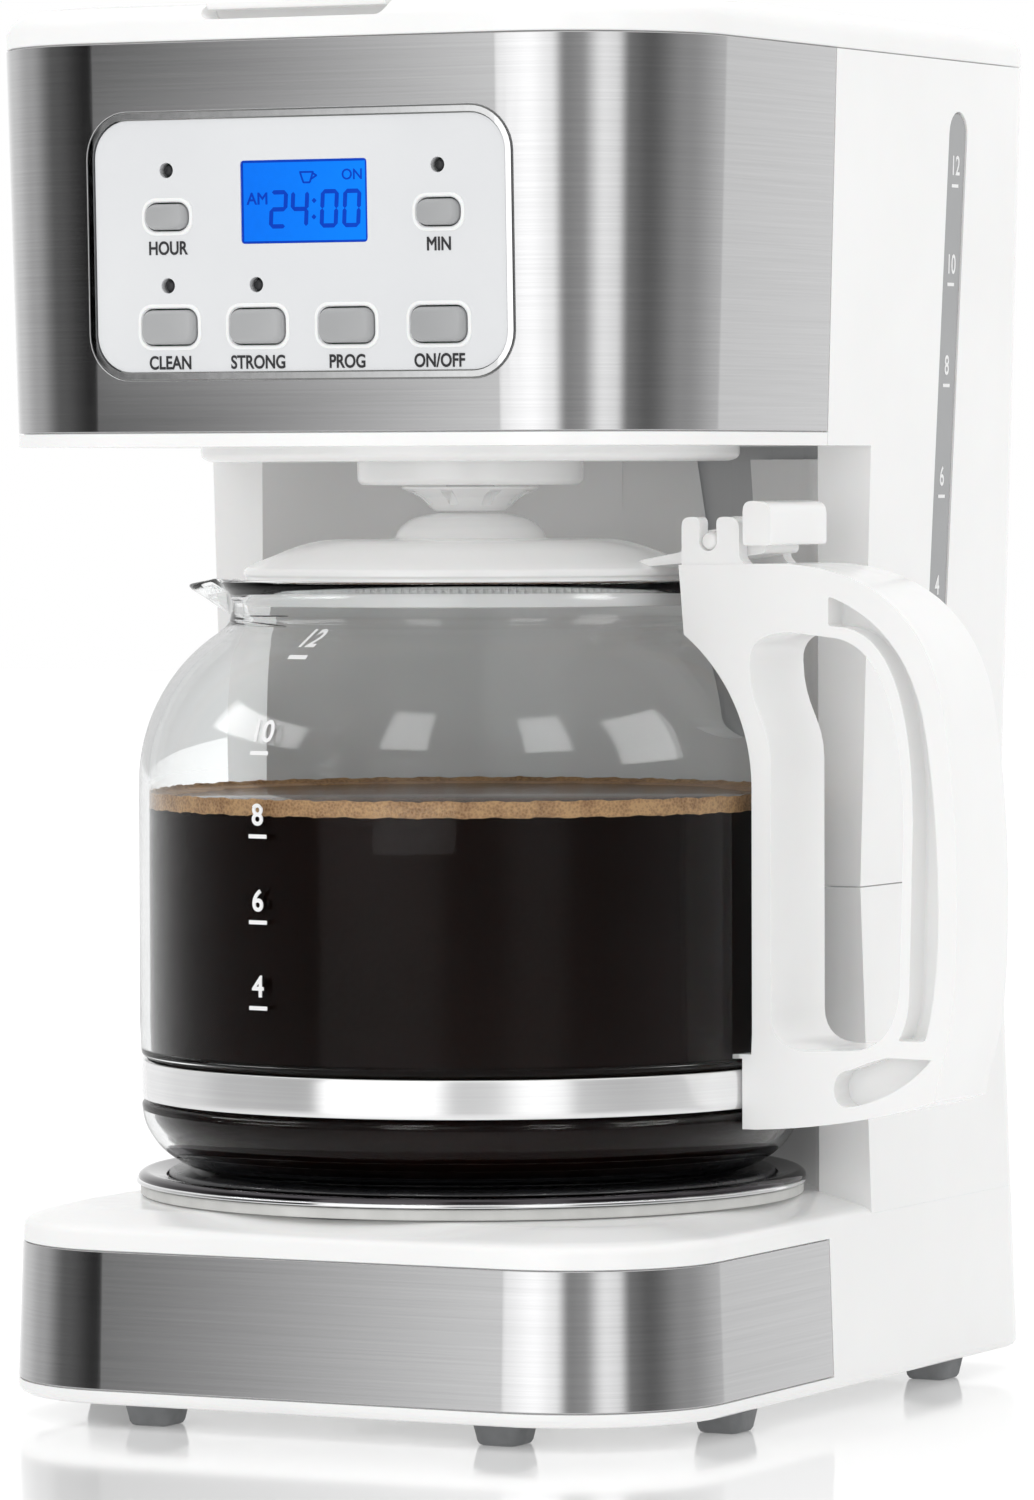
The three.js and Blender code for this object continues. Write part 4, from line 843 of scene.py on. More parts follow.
def button_collar(node):
    """The white lip round a key's hole."""
    x, z, w, h = place_of(node)
    outer, inner = round_rect(w + 2.6, h + 2.6, 3.4, x, z, 8), round_rect(w + 0.8, h + 0.8, 2.6, x, z, 8)
    ring = keep(panel_band(f"{node}_collar", -0.1, 1.0), through_front(outer))
    cut(ring, through_front(inner))
    edge_soft(ring, 0.28, segments=3)
    return settle(ring, "housing", WHITE, "white_plastic")


def lamp(node):
    x, z = place_of(node)[:2]
    front, back = span(node)[0].y, span(node)[1].y
    profile = [
        (0, front + 0.1), (0.7, front + 0.18), (1.15, front + 0.5), (1.36, front + 1.1), (1.36, back),
        (0, back),
    ]
    dome = revolve(f"{node}_dome", profile, 28, lambda a, b, y: (x + a, y, z + b))
    smooth(dome)
    return settle(dome, "housing", BLACK, "black_plastic", node)


def lettering(text, size, upright, **settings):
    """Points (across, up, out) and faces of some text centred across the origin."""
    curve = bpy.data.curves.new("lettering", "FONT")
    curve.body, curve.size, curve.align_x, curve.align_y = text, size, "CENTER", upright
    for key, value in settings.items():
        setattr(curve, key, value)
    source = bpy.data.objects.new("lettering", curve)
    mesh = bpy.data.meshes.new_from_object(source)
    bpy.data.objects.remove(source)
    verts = [tuple(v.co) for v in mesh.vertices]
    faces = [tuple(p.vertices) for p in mesh.polygons]
    bpy.data.meshes.remove(mesh)
    return verts, faces


def printed(name, text, size, x, z, body, material, slot, inset, lift, bold, squeeze=1.0):
    """A word printed on the front, centred at (x, z), its letters following the surface."""
    points, faces = lettering(text, size, "CENTER", bevel_depth=bold, bevel_resolution=0, extrude=0.02)
    verts = []
    for across, up, out in points:
        px, pz = x + across * squeeze, z + up
        verts.append((px, face_y(px, pz, inset) - lift - out, pz))
    return settle(add(name, verts, faces), body, material, slot)


def front_strokes(name, strokes, thickness, body, material, slot, inset, lift):
    """Straight bars on the front from (x0, z0) to (x1, z1)."""
    verts, faces = [], []
    for x0, z0, x1, z1 in strokes:
        along = Vector((x1 - x0, z1 - z0)).normalized()
        side = Vector((-along.y, along.x)) * thickness / 2
        tip = along * thickness / 2
        corners = [
            (x0 - tip.x, z0 - tip.y), (x0 + side.x, z0 + side.y), (x1 + side.x, z1 + side.y),
            (x1 + tip.x, z1 + tip.y), (x1 - side.x, z1 - side.y), (x0 - side.x, z0 - side.y),
        ]
        start = len(verts)
        for depth in (0.0, 0.08):
            verts += [(a, face_y(a, b, inset) - lift + depth, b) for a, b in corners]
        n = len(corners)
        faces.append(tuple(start + i for i in range(n)))
        faces.append(tuple(start + n + i for i in reversed(range(n))))
        faces += [(start + i, start + (i + 1) % n, start + n + (i + 1) % n, start + n + i) for i in range(n)]
    return settle(add(name, verts, faces), body, material, slot)


SEGMENTS = {
    "0": "abcdef", "1": "bc", "2": "abged", "3": "abgcd", "4": "fgbc", "5": "afgcd", "6": "afgedc",
    "7": "abc", "8": "abcdefg", "9": "abcdfg",
}


def digit_strokes(digit, x, z):
    """Seven-segment bars for a digit centred at (x, z), leaning slightly."""
    w, h, gap = 3.5, 7.5, 0.45
    l, r, t, b = x - w / 2, x + w / 2, z + h / 2, z - h / 2
    bars = {
        "a": (l + gap, t, r - gap, t), "g": (l + gap, z, r - gap, z), "d": (l + gap, b, r - gap, b),
        "f": (l, z + gap, l, t - gap), "b": (r, z + gap, r, t - gap),
        "e": (l, b + gap, l, z - gap), "c": (r, b + gap, r, z - gap),
    }
    lean = 0.06
    result = []
    for key in SEGMENTS[digit]:
        x0, z0, x1, z1 = bars[key]
        result.append((x0 + (z0 - z) * lean, z0, x1 + (z1 - z) * lean, z1))
    return result


CUP_ICON = [
    (-1.9, 1.2, 1.4, 1.2), (-1.8, 1.0, -1.1, -1.0), (1.3, 1.0, 0.6, -1.0), (-1.0, -1.1, 0.5, -1.1),
    (1.4, 0.9, 2.2, 0.4), (2.2, 0.4, 1.0, -0.3),
]


def display():
    window = round_rect(LCD_W, LCD_H, 0.6, LCD_X, LCD_Z, 3)
    lens = keep(panel_band("display_window", LCD_DEPTH, 2.0), through_front(window))
    edge_soft(lens, 0.12, segments=2)
    settle(lens, "housing", LCD_BLUE, "display", "lcd_lens")
    z = LCD_Z - 1.7
    strokes = []
    for digit, x in (("2", -6.5), ("4", -1.2), ("0", 6.2), ("0", 11.8)):
        strokes += digit_strokes(digit, LCD_X + x, z)
    shown = ("housing", LCD_DIGIT, "display", LCD_DEPTH, 0.1)
    front_strokes("display_digits", strokes, 0.95, *shown)
    x = LCD_X + 2.4
    dots = [(x, z + 1.8, x + 0.1, z + 1.8), (x - 0.1, z - 1.8, x, z - 1.8)]
    front_strokes("display_colon", dots, 1.1, *shown)
    printed("display_am", "AM", 3.7, LCD_X - 11.7, LCD_Z + 0.6, *shown, 0.07)
    printed("display_on", "ON", 3.3, LCD_X + 12.0, LCD_Z + 5.6, *shown, 0.05)
    x, z = LCD_X + 0.9, LCD_Z + 5.2
    front_strokes("display_cup", [(x + a, z + b, x + c, z + d) for a, b, c, d in CUP_ICON], 0.42, *shown)
    left, right, low, high = LCD_X - LCD_W / 2, LCD_X + LCD_W / 2, LCD_Z - LCD_H / 2, LCD_Z + LCD_H / 2
    edges = [
        (left, low, right, low), (right, low, right, high), (right, high, left, high),
        (left, high, left, low),
    ]
    front_strokes("display_edge", edges, 0.5, *shown)


def labels():
    for node, word in BUTTON_WORDS.items():
        x, z, _, h = place_of(node)
        ink = ("housing", INK, "black_plastic", 0.2, 0.06, 0.1, 0.84)
        printed(f"label_{node}", word, 4.1, x, z - h / 2 - 4.2, *ink)


# ---------------------------------------------------------------- brewing parts under the head


def basket():
    low, high = span("filter_basket")
    radius, top = (high.y - low.y) / 2 - 2.3, high.z
    floor = HEAD_Z + 4
    profile = [
        (5.9, DRUM_Z), (25, DRUM_Z), (26, DRUM_Z + 1), (26, floor), (radius - 5, floor + 12),
        (radius, top - 3), (radius + 2.4, top - 3), (radius + 2.4, top), (radius - 2, top),
        (radius - 7, floor + 13.5), (24, floor + 2), (24, DRUM_Z + 3), (5.9, DRUM_Z + 3),
    ]
    cup = turned("brew_basket", soften(profile, 0.7), 112)
    smooth(cup, 50)
    return settle(cup, "basket", WHITE, "white_plastic", "filter_basket")


def drip_valve():
    low, high = span("drip_valve")
    flange = DRUM_Z + 8.8
    profile = [
        (0, low.z, 0), (8.0, low.z), (9.2, low.z + 0.9), (11.5, low.z + 3.2), (15.7, DRUM_Z - 0.8),
        (15.7, DRUM_Z - GAP), (5.4, DRUM_Z - GAP), (5.4, flange), (9, flange), (9, high.z), (0, high.z, 0),
    ]
    cone = turned("drip_valve_cone", soften(profile, 0.5))
    slots = []
    for index in range(8):
        angle = math.radians(index * 45 - 85.8)
        cos, sin = math.cos(angle), math.sin(angle)
        corners = ((-1.1, 9.6), (1.1, 9.6), (1.5, 17.5), (-1.5, 17.5))
        shape = [(b * cos - a * sin, AXIS_Y + b * sin + a * cos) for a, b in corners]
        slots.append(prism("slot", shape, "z", low.z + 1.6, DRUM_Z - 1.5))
    cut(cone, *slots)
    edge_soft(cone, 0.2, segments=2)
    return settle(cone, "drip_valve", CARAFE_WHITE, "white_plastic", "drip_valve")


# ---------------------------------------------------------------- carafe


def glass_profile():
    """The outside of the glass as (radius, z), from the middle of its underside to its rim."""
    r, z, shoulder_radius, neck = CARAFE_RADIUS, CARAFE_Z, 41.0, 55.0
    groove, low, high = r - 2.1, z + 16.2, z + 25.6
    centre = r - shoulder_radius
    sweep = math.degrees(math.acos((neck + 1.5 - centre) / shoulder_radius))
    shoulder_z = NECK_Z - shoulder_radius * math.sin(math.radians(sweep))
    lower = [
        (0, z + 2.4, 0), (r - 22, z + 1.6, 4), (r - 17, z, 2.5), (r - 11, z + 0.6, 5), (r - 4.5, z + 4.8, 5),
        (r - 1, z + 10.5, 3), (r - 0.3, low - 0.9, 0.8), (groove, low + 0.3, 0.8), (groove, high - 0.3, 0.8),
        (r - 0.3, high + 0.9, 0.8), (r, high + 8, 4),
    ]
    shoulder = arc(centre, shoulder_z, shoulder_radius, 0, sweep - 3, 26)
    upper = [
        shoulder[-1], (neck + 0.6, NECK_Z + 1.1, 2.2), (neck - 0.2, NECK_Z + 4, 2), (neck, RIM_Z - 4.2, 2.2),
        (neck + 2.0, RIM_Z - 1.8, 1.0), (neck + 2.3, RIM_Z - 0.5, 0.6), (neck + 1.2, RIM_Z, 0.5),
        (neck + 0.4, RIM_Z - 0.3),
    ]
    return soften(lower, 2, 6, closed=False) + shoulder + soften(upper, 1, 5, closed=False)[1:]


def offset(profile, distance):
    """A profile moved to its left by a distance."""
    result = []
    for i, (r, z) in enumerate(profile):
        before, after = profile[max(i - 1, 0)], profile[min(i + 1, len(profile) - 1)]
        along = Vector((after[0] - before[0], after[1] - before[1])).normalized()
        result.append((0.0 if i == 0 else r - along.y * distance, z + along.x * distance))
    return result


def from_axis(vertex):
    """A vertex's place in millimetres, measured from the carafe's axis."""
    return vertex.co.x / MM - MID_X, vertex.co.y / MM - AXIS_Y, vertex.co.z / MM


def move_out(vertex, x, y, share):
    """Moves a vertex to a share of its (x, y) distance from the carafe's axis."""
    vertex.co.x, vertex.co.y = (MID_X + x * share) * MM, (AXIS_Y + y * share) * MM


def pull_spout(piece, reach):
    """Draws the rim out into a rounded pouring lip on the -X side."""
    for vertex in piece.data.vertices:
        x, y, z = from_axis(vertex)
        rise = min(max((z - NECK_Z - 0.5) / (RIM_Z - NECK_Z - 0.5), 0), 1)
        if rise == 0:
            continue
        turn = math.atan2(y, -x)
        bell = math.exp(-((turn / 0.25) ** 2))
        pull = reach * rise * (2 - rise) * bell
        droop = -1.4 * rise**2 * bell + 0.9 * rise * math.exp(-(((abs(turn) - 0.4) / 0.14) ** 2))
        move_out(vertex, x, y, 1 + pull / math.hypot(x, y))
        vertex.co.z = min(z + droop, RIM_Z) * MM


def carafe_glass():
    outer = glass_profile()
    inner = offset(outer, 2.2)[::-1]
    inner = [(min(r, 52.9) if z > NECK_Z + 1 else r, z) for r, z in inner]
    glass = turned("carafe_glass_body", outer + inner, 180)
    pull_spout(glass, 15.5)
    smooth(glass, 70)
    return settle(glass, "carafe", GLASS, "glass", "carafe_glass")


COFFEE_Z = 140.8


def coffee():
    """The brew: a dark body, a thin film on top and a ring of foam against the glass."""
    fill = COFFEE_Z - 2.9
    inside = [(r, z) for r, z in offset(glass_profile(), 2.28) if z < fill]
    edge = inside[-1][0]
    top = COFFEE_Z - 0.9
    body = turned("coffee_body", inside + [(edge, fill), (edge - 3, top), (0, top)], 160)
    smooth(body, 60)
    settle(body, "carafe", COFFEE, "black_plastic")
    low, high = COFFEE_Z - 0.85, COFFEE_Z - 0.5
    film = turned("coffee_film", [(0, low), (edge - 5, low), (edge - 5.4, high), (0, high)], 128)
    smooth(film, 60)
    settle(film, "carafe", COFFEE_TOP, "black_plastic")
    foam_ring(edge, fill + 0.05)


def foam_ring(edge, low):
    """Foam against the glass, with a ragged inner border and a rippled rim."""
    profile = [
        (edge, low, 0), (edge, COFFEE_Z + 0.9, 0.3), (edge - 0.7, COFFEE_Z + 0.7),
        (edge - 1.8, COFFEE_Z - 0.1), (edge - 6.0, COFFEE_Z - 0.4), (edge - 7.0, COFFEE_Z - 0.85),
        (edge - 2.95, COFFEE_Z - 0.85, 0),
    ]
    ring = turned("coffee_foam_ring", soften(profile, 0.8), 360)
    for vertex in ring.data.vertices:
        x, y, z = from_axis(vertex)
        angle, radius = math.atan2(y, x), math.hypot(x, y)
        if radius < edge - 3.2:
            wander = 1.6 * math.sin(5 * angle + 1) + 1.3 * math.sin(13 * angle)
            wander += 0.8 * math.sin(29 * angle + 2)
            move_out(vertex, x, y, (radius + wander * (edge - radius) / 7.0) / radius)
        elif z < COFFEE_Z - 2 or z > COFFEE_Z + 0.5:
            fine = 0.35 * math.sin(97 * angle + 1) + 0.25 * math.sin(173 * angle + 2)
            vertex.co.z = (z + 0.25 * (0.5 * math.sin(41 * angle) + fine)) * MM
    smooth(ring, 60)
    return settle(ring, "carafe", FOAM, "black_plastic")


def carafe_band():
    low, high = BAND_LOW.z, BAND_HIGH.z
    r0, r1 = CARAFE_RADIUS - 1.8, CARAFE_RADIUS - 0.2
    crown = [
        (r0, low), (r1 - 0.25, low, 0.3), (r1, low + 1.2, 0.8), (r1, high - 1.2, 0.8), (r1 - 0.25, high, 0.3),
        (r0, high),
    ]
    band = turned("carafe_band_strip", soften(crown, 0.25), 180)
    smooth(band, 50)
    # the band's brightness is partly a painted sheen in its material
    return settle(band, "carafe", BAND_STEEL_PAINTED_SHEEN, "brushed_steel", "carafe_band")


HANDLE_LOW, HANDLE_HIGH = span("carafe_handle")
HANDLE_HALF = (HANDLE_HIGH.y - HANDLE_LOW.y) / 2
REACH = HANDLE_HIGH.x - MID_X
BAND_MID = (BAND_LOW.z + BAND_HIGH.z) / 2
TOP = RIM_Z + 3.4
PIN_LOW, PIN_HIGH = span("carafe_lid_pin")
PIN_X, PIN_Z = (PIN_LOW.x + PIN_HIGH.x) / 2 - MID_X, (PIN_LOW.z + PIN_HIGH.z) / 2
EAR_GAP = HANDLE_HALF - 5


def traced(start, *moves):
    """A line from start through points, and through curves given as two controls, an end and a step count."""
    points = [start]
    for move in moves:
        points += bezier(points[-1], *move) if len(move) == 4 else [move]
    return points


def handle_outline(inset=0.0):
    """The handle's outside in x and z, from the ears round the grip to the band."""
    r, top, low = REACH - 1.8 - inset, TOP - inset, BAND_MID - 8.9 + inset
    return traced(
        (60, top),
        (r - 44.2, top + 0.3),
        ((r - 22.2, top + 0.2), (r - 6.7, top - 10.4), (r - 3.1, top - 32.7), 16),
        ((r - 1.2, top - 44.4), (r, top - 58.4), (r, top - 73.4), 10),
        ((r, low + 39.4), (r - 0.2, low + 24.4), (r - 4.3, low + 13.4), 12),
        (r - 5.4, low + 7.6),
        ((r - 14, low + 4.4), (98, low + 0.9), (79, low), 12),
        (CARAFE_RADIUS - 6, low),
    )


def loop_outline(grow=0.0):
    """The finger loop in x and z."""
    left, right, low = CARAFE_RADIUS + 6.3 - grow, REACH - 15 + grow, BAND_MID + 9.2 - grow
    high = low + 93.8 + 2 * grow
    return traced(
        (left, low + 8),
        ((left, low + 2), (left + 4, low), (left + 9, low), 8),
        (right - 12, low + 0.4),
        ((right - 5, low + 0.8), (right - 0.8, low + 6), (right - 0.6, low + 16), 10),
        (right + 0.3, high - 44.5),
        ((right + 0.2, high - 18.5), (right - 5, high - 1.2), (right - 18.4, high - 1), 16),
        (left + 5, high),
        ((left - 3, high), (left - 5.4, high - 3), (left - 5.2, high - 7), 8),
        ((left - 5, high - 18), (left, high - 20), (left, high - 29), 8),
    )


def grip_channel(y0, y1):
    """The hollow along the grip's side, between the loop's rim and the outer rim."""
    channel = cut(
        prism("channel", handle_outline(4.4), "y", y0, y1),
        prism("rim", loop_outline(2.3), "y", y0 - 1, y1 + 1),
        block("lower_arm", -FAR, FAR, -FAR, FAR, -FAR, BAND_MID + 12),
        block("plate", -FAR, 97, -FAR, FAR, -FAR, FAR),
    )
    return edge_soft(channel, 2.0, angle=30, segments=4)


def web_pocket_outline():
    """The oval hollow in the side of the lower arm."""
    r, low = REACH - 7, BAND_MID - 3.2
    return traced(
        (101, low),
        ((r - 14, low + 0.6), (r - 5, low + 6), (r - 1, low + 11.2), 10),
        (r - 12, low + 11.4),
        ((r - 18, low + 10), (104, low + 8.6), (101, low + 8.2), 6),
        ((97.3, low + 7.4), (97.3, low + 0.6), (100.9, low), 8),
    )


def ear_outline():
    """An ear beside the lid, in x and z, with the slot that the lid's pin drops into."""
    top = TOP + 10.8
    shape = [
        (60.5, TOP - 4, 0), (78, TOP - 4, 0), (76.6, TOP - 0.2, 1.5), (74.8, TOP + 1.6, 1), (74.8, top, 2.8),
        (69.1, top, 1.6), (69.3, PIN_Z, 0.6), (64.9, PIN_Z, 0.6), (65.1, top, 1.6), (60.5, top, 2.6),
    ]
    return soften(shape, 1.0)


def carafe_handle():
    y0, y1 = AXIS_Y - HANDLE_HALF, AXIS_Y + HANDLE_HALF
    body = prism("carafe_handle_grip", handle_outline(), "y", y0, y1)
    cut(body, prism("loop", loop_outline(), "y", y0 - 1, y1 + 1))
    depth = 8.0
    for low, high in ((y0 - 1, y0 + depth), (y1 - depth, y1 + 1)):
        cut(body, grip_channel(low, high))
        cut(body, prism("web", web_pocket_outline(), "y", low, high))
    for low, high in ((y0 + 0.6, AXIS_Y - EAR_GAP), (AXIS_Y + EAR_GAP, y1 - 0.6)):
        join(body, prism("ear", ear_outline(), "y", low, high))
    pin = prism("pin_hole", circle(PIN_X, PIN_Z, 2.25), "y", y0 - 1, y1 + 1)
    glass = turned("clear", offset(glass_profile(), -2.9) + [(0, RIM_Z + 3)], 160)
    cut(glass, block("low", 0, FAR, -FAR, FAR, -FAR, BAND_MID + 8))
    band = post(CARAFE_RADIUS + 0.5, 0, BAND_MID + 7, sides=160)
    cut(body, glass, band, pin, block("neck", 0, 59.8, -FAR, FAR, -FAR, FAR))
    edge_soft(body, 0.9, angle=32, segments=4)
    return settle(body, "carafe", CARAFE_WHITE, "white_plastic", "carafe_handle")


def carafe_lid():
    edge, rim, top = 51.8, RIM_Z, PLATEAU_Z
    profile = [
        (edge, rim - 6, 0.4), (edge, rim + 0.6, 0.3), (edge + 0.5, rim + 1.0, 0.4),
        (edge + 0.3, rim + 2.4, 0.8), (edge - 2.2, rim + 3.6, 2), (40, top - 1.5, 5), (34, top, 4),
        (19, top, 0.8), (17.4, top + 0.3, 0.5),
        (16.6, top + 2.4, 1.5), (13.6, top + 4.8, 2.5), (8, top + 6.1, 3), (0, top + 6.3, 0),
        (0, top + 4.1, 0), (10, top + 3.4, 2), (15, top - 2, 1), (34, top - 2, 2), (edge - 2.4, rim + 1, 1),
        (edge - 2, rim - 6, 0.4),
    ]
    lid = turned("carafe_lid_cup", soften(profile, 1.0, 5), 144)
    arm = [
        (44, rim + 2.5), (PIN_X, TOP + 1), (PIN_X + 12, TOP + 2.6), (PIN_X + 12, TOP + 6),
        (PIN_X + 3.2, PIN_Z + 3), (PIN_X - 4.0, PIN_Z + 2.2), (58, rim + 6.2), (48, rim + 4.4),
    ]
    tab = [(76.2, TOP + 4.4), (83.2, TOP + 4.4), (83.2, TOP + 14.0, 2.4), (76.2, TOP + 14.6, 2.6)]
    hollow = [(0, rim - 8), (edge - 2, rim - 8), (edge - 2.4, rim + 1), (34, top - 2), (0, top - 2)]
    web = prism("web", soften(arm, 1.2), "y", AXIS_Y - EAR_GAP + 0.6, AXIS_Y + EAR_GAP - 0.6)
    join(lid, web, prism("tab", soften(tab, 0.9), "y", AXIS_Y - 15, AXIS_Y + 15))
    cut(lid, prism("pin_hole", circle(PIN_X, PIN_Z, 2.2), "y", -FAR, FAR), turned("inside", hollow))
    edge_soft(lid, 0.5, angle=38)
    return settle(lid, "carafe", CARAFE_WHITE, "white_plastic", "carafe_lid")


def carafe_lid_pin():
    """The lid's rod with chamfered ends."""
    y0, y1 = PIN_LOW.y, PIN_HIGH.y
    rows = [(y0, 1.3), (y0 + 0.3, 1.75), (y0 + 0.8, 1.95), (y1 - 0.8, 1.95), (y1 - 0.3, 1.75), (y1, 1.3)]
    pin = loft("lid_pin_rod", [[(a, y, b) for a, b in circle(PIN_X, PIN_Z, r, 36)] for y, r in rows])
    smooth(pin, 50)
    return settle(pin, "carafe", CARAFE_WHITE, "white_plastic", "carafe_lid_pin")


def glass_radius(z):
    """The outside radius of the glass at a height above the band."""
    profile = glass_profile()
    for (r0, z0), (r1, z1) in zip(profile[::-1], profile[-2::-1]):
        if z1 <= z <= z0:
            return r1 + (r0 - r1) * (z - z1) / max(z0 - z1, 0.01) + (0.12 if z < 140 else 0.35)
    return CARAFE_RADIUS + 0.12


BOX_FACES = ((3, 2, 1, 0), (4, 5, 6, 7), (0, 1, 5, 4), (1, 2, 6, 5), (2, 3, 7, 6), (3, 0, 4, 7))


def barred_number(number, size, half, low, rise, squeeze=1.0, **settings):
    """Points (across, up, out) and faces of a number that stands over a short bar."""
    letters, faces = lettering(number, size, "BOTTOM", extrude=0.03, **settings)
    verts = [(across * squeeze, up + rise, out) for across, up, out in letters]
    start = len(verts)
    bar = [(-half, low), (half, low), (half, 0.5), (-half, 0.5)]
    verts += [(a, b, c) for c in (-0.03, 0.03) for a, b in bar]
    return verts, faces + [tuple(start + i for i in q) for q in BOX_FACES]


def cup_mark(number, z, angle, size, lean=0.0):
    """A cup number wrapped on the glass."""
    verts, faces = barred_number(number, size, 2.6, -0.4, 1.3, bevel_depth=0.14, shear=lean)
    wrapped = []
    for across, up, out in verts:
        r = glass_radius(z + up)
        turn = math.radians(angle) + across / r
        wrapped.append(((r + out) * math.cos(turn), AXIS_Y + (r + out) * math.sin(turn), z + up))
    return settle(add(f"cup_mark_{number}", wrapped, faces), "carafe", WHITE_INK, "white_plastic")


def level_number(number, z):
    """A number on the level window, on the right-hand side."""
    y = WINDOW_HIGH.y + GAP - WINDOW_HALF - (WINDOW_HIGH.z - 5 - z) * WINDOW_LEAN
    verts, faces = barred_number(number, 6.4, 1.9, -0.3, 1.4, 0.8, offset=0.08)
    placed = [(half_width(z + up) - 0.3 + out, y + across, z + up) for across, up, out in verts]
    return settle(add(f"level_mark_{number}", placed, faces), "housing", WHITE_INK, "white_plastic")


# ---------------------------------------------------------------- everything


def build_pieces():
    lower_housing()
    upper_housing()
    head_front()
    level_window()
    steel_skin("head_steel", "head_wrap", HEAD_WRAP_Z, WRAP_HIGH.z, panel_outline(GAP))
    steel_skin("base_steel", "base_wrap", BASE_WRAP_Z, BASE_WRAP_TOP)
    cap_frame()
    lid_cover()
    for index in range(1, 7):
        foot(index)
    warming_plate()
    bezel()
    control_face()
    for node in BUTTON_WORDS:
        push_button(node)
        button_collar(node)
    for node in LAMPS:
        lamp(node)
    display()
    labels()
    basket()
    drip_valve()
    carafe_glass()
    coffee()
    carafe_band()
    carafe_handle()
    carafe_lid()
    carafe_lid_pin()
    for number, z in (("4", 95.0), ("6", 114.2), ("8", 133.4), ("10", 152.0)):
        cup_mark(number, z, 258.5, 6.7)
    cup_mark("12", 173.2, 259.8, 5.4, 0.3)
    for number, z in (("4", 183.0), ("6", 208.5), ("8", 234.4), ("10", 258.0), ("12", 281.0)):
        level_number(number, z)


def dress_frame():
    """Materials for the CAD nodes that stay in sight."""
    looks = {
        SILICONE: ["tank_screen", "check_valve", "inlet_hose", "riser_hose", "valve_seal"],
        SATIN: [
            "heating_element", "permanent_filter", "valve_spring", "band_screw", "hinge_pin_left",
            "hinge_pin_right",
        ],
        BLACK: ["thermostat", "thermal_fuse", "lcd_module"],
        BOARD: ["power_board", "control_board"],
        TANK_PLASTIC: ["water_tank"],
        WHITE: ["spray_head", "bottom_cover"],
        RUBBER: ["cord_gland"],
    }
    for material, nodes in looks.items():
        for node in nodes:
            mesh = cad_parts[node].data
            mesh.materials.clear()
            mesh.materials.append(material)


def floor():
    half = 6.0  # metres
    corners = [(-half, -half, 0), (half, -half, 0), (half, half, 0), (-half, half, 0)]
    mesh = bpy.data.meshes.new("floor")
    mesh.from_pydata(corners, [], [(0, 1, 2, 3)])
    plane = bpy.data.objects.new("floor", mesh)
    bpy.context.scene.collection.objects.link(plane)
    made = Nodes("floor_white")
    made.colour(made.noise(0.004, 2), (0.90, 0.90, 0.90), (0.93, 0.93, 0.93))
    made.set(roughness=0.09, specular_ior_level=0.5, emission_color=(1, 1, 1, 1), emission_strength=0.12)
    mesh.materials.append(made.material)
    plane.visible_glossy = False


# Lights: where each stands and what it faces in metres, its width and height, and its power in watts.
LIGHTS = {
    "key": ((-1.3, -1.5, 1.5), (0, 0, 0.16), (1.2, 1.2), 4),
    "top": ((0.1, -0.2, 1.9), (0, 0, 0.1), (1.6, 1.6), 3),
    "right": ((1.7, 0.3, 0.9), (0, 0, 0.16), (0.9, 1.4), 2.2),
    "front": ((0.2, -1.7, 0.4), (0, 0, 0.18), (0.9, 0.7), 2.6),
}


def area_light(name, place, target, size, power):
    light = bpy.data.lights.new(name, "AREA")
    light.shape, light.size, light.size_y = "RECTANGLE", size[0], size[1]
    light.energy = power
    holder = bpy.data.objects.new(name, light)
    bpy.context.scene.collection.objects.link(holder)
    holder.location = place
    holder.rotation_mode = "QUATERNION"
    holder.rotation_quaternion = (Vector(target) - Vector(place)).to_track_quat("-Z", "Y")
    holder.visible_glossy = False


# Brightness of the studio as metal mirrors it, by azimuth in degrees from straight in front to the right.
STUDIO = [
    (-180, 1.0), (-150, 1.0), (-117, 0.75), (-90, 0.5), (-63, 0.12), (-34, 0.0), (-31, 0.0), (-29.2, 0.18),
    (-28, 0.5), (-26.8, 1.05), (-24, 1.3), (-2, 1.6), (12, 1.3), (22, 0.28), (32, 0.35), (48, 1.2), (56, 1.1),
    (66, 0.2), (80, 0.12), (111, 0.36), (152, 0.62), (157, 1.0), (180, 1.0),
]
# The same for clear glass, which mirrors a dimmer room with a few soft boxes above the horizon.
GLASS_ROOM = [(-180, 0.9), (-110, 0.6), (-80, 0.06), (60, 0.03), (110, 0.3), (150, 0.8), (180, 0.9)]
# Azimuth, half width, low edge and high edge of each soft box in degrees.
SOFT_BOXES = [(-62, 22, 20, 34), (2, 9, 24, 50), (56, 9, 22, 46), (96, 14, 12, 40)]
DIFFUSE_LOW = 0.72  # soft light from the horizon
DIFFUSE_HIGH = 0.98  # and from overhead
SOFT_BOX_LIGHT = 10.0


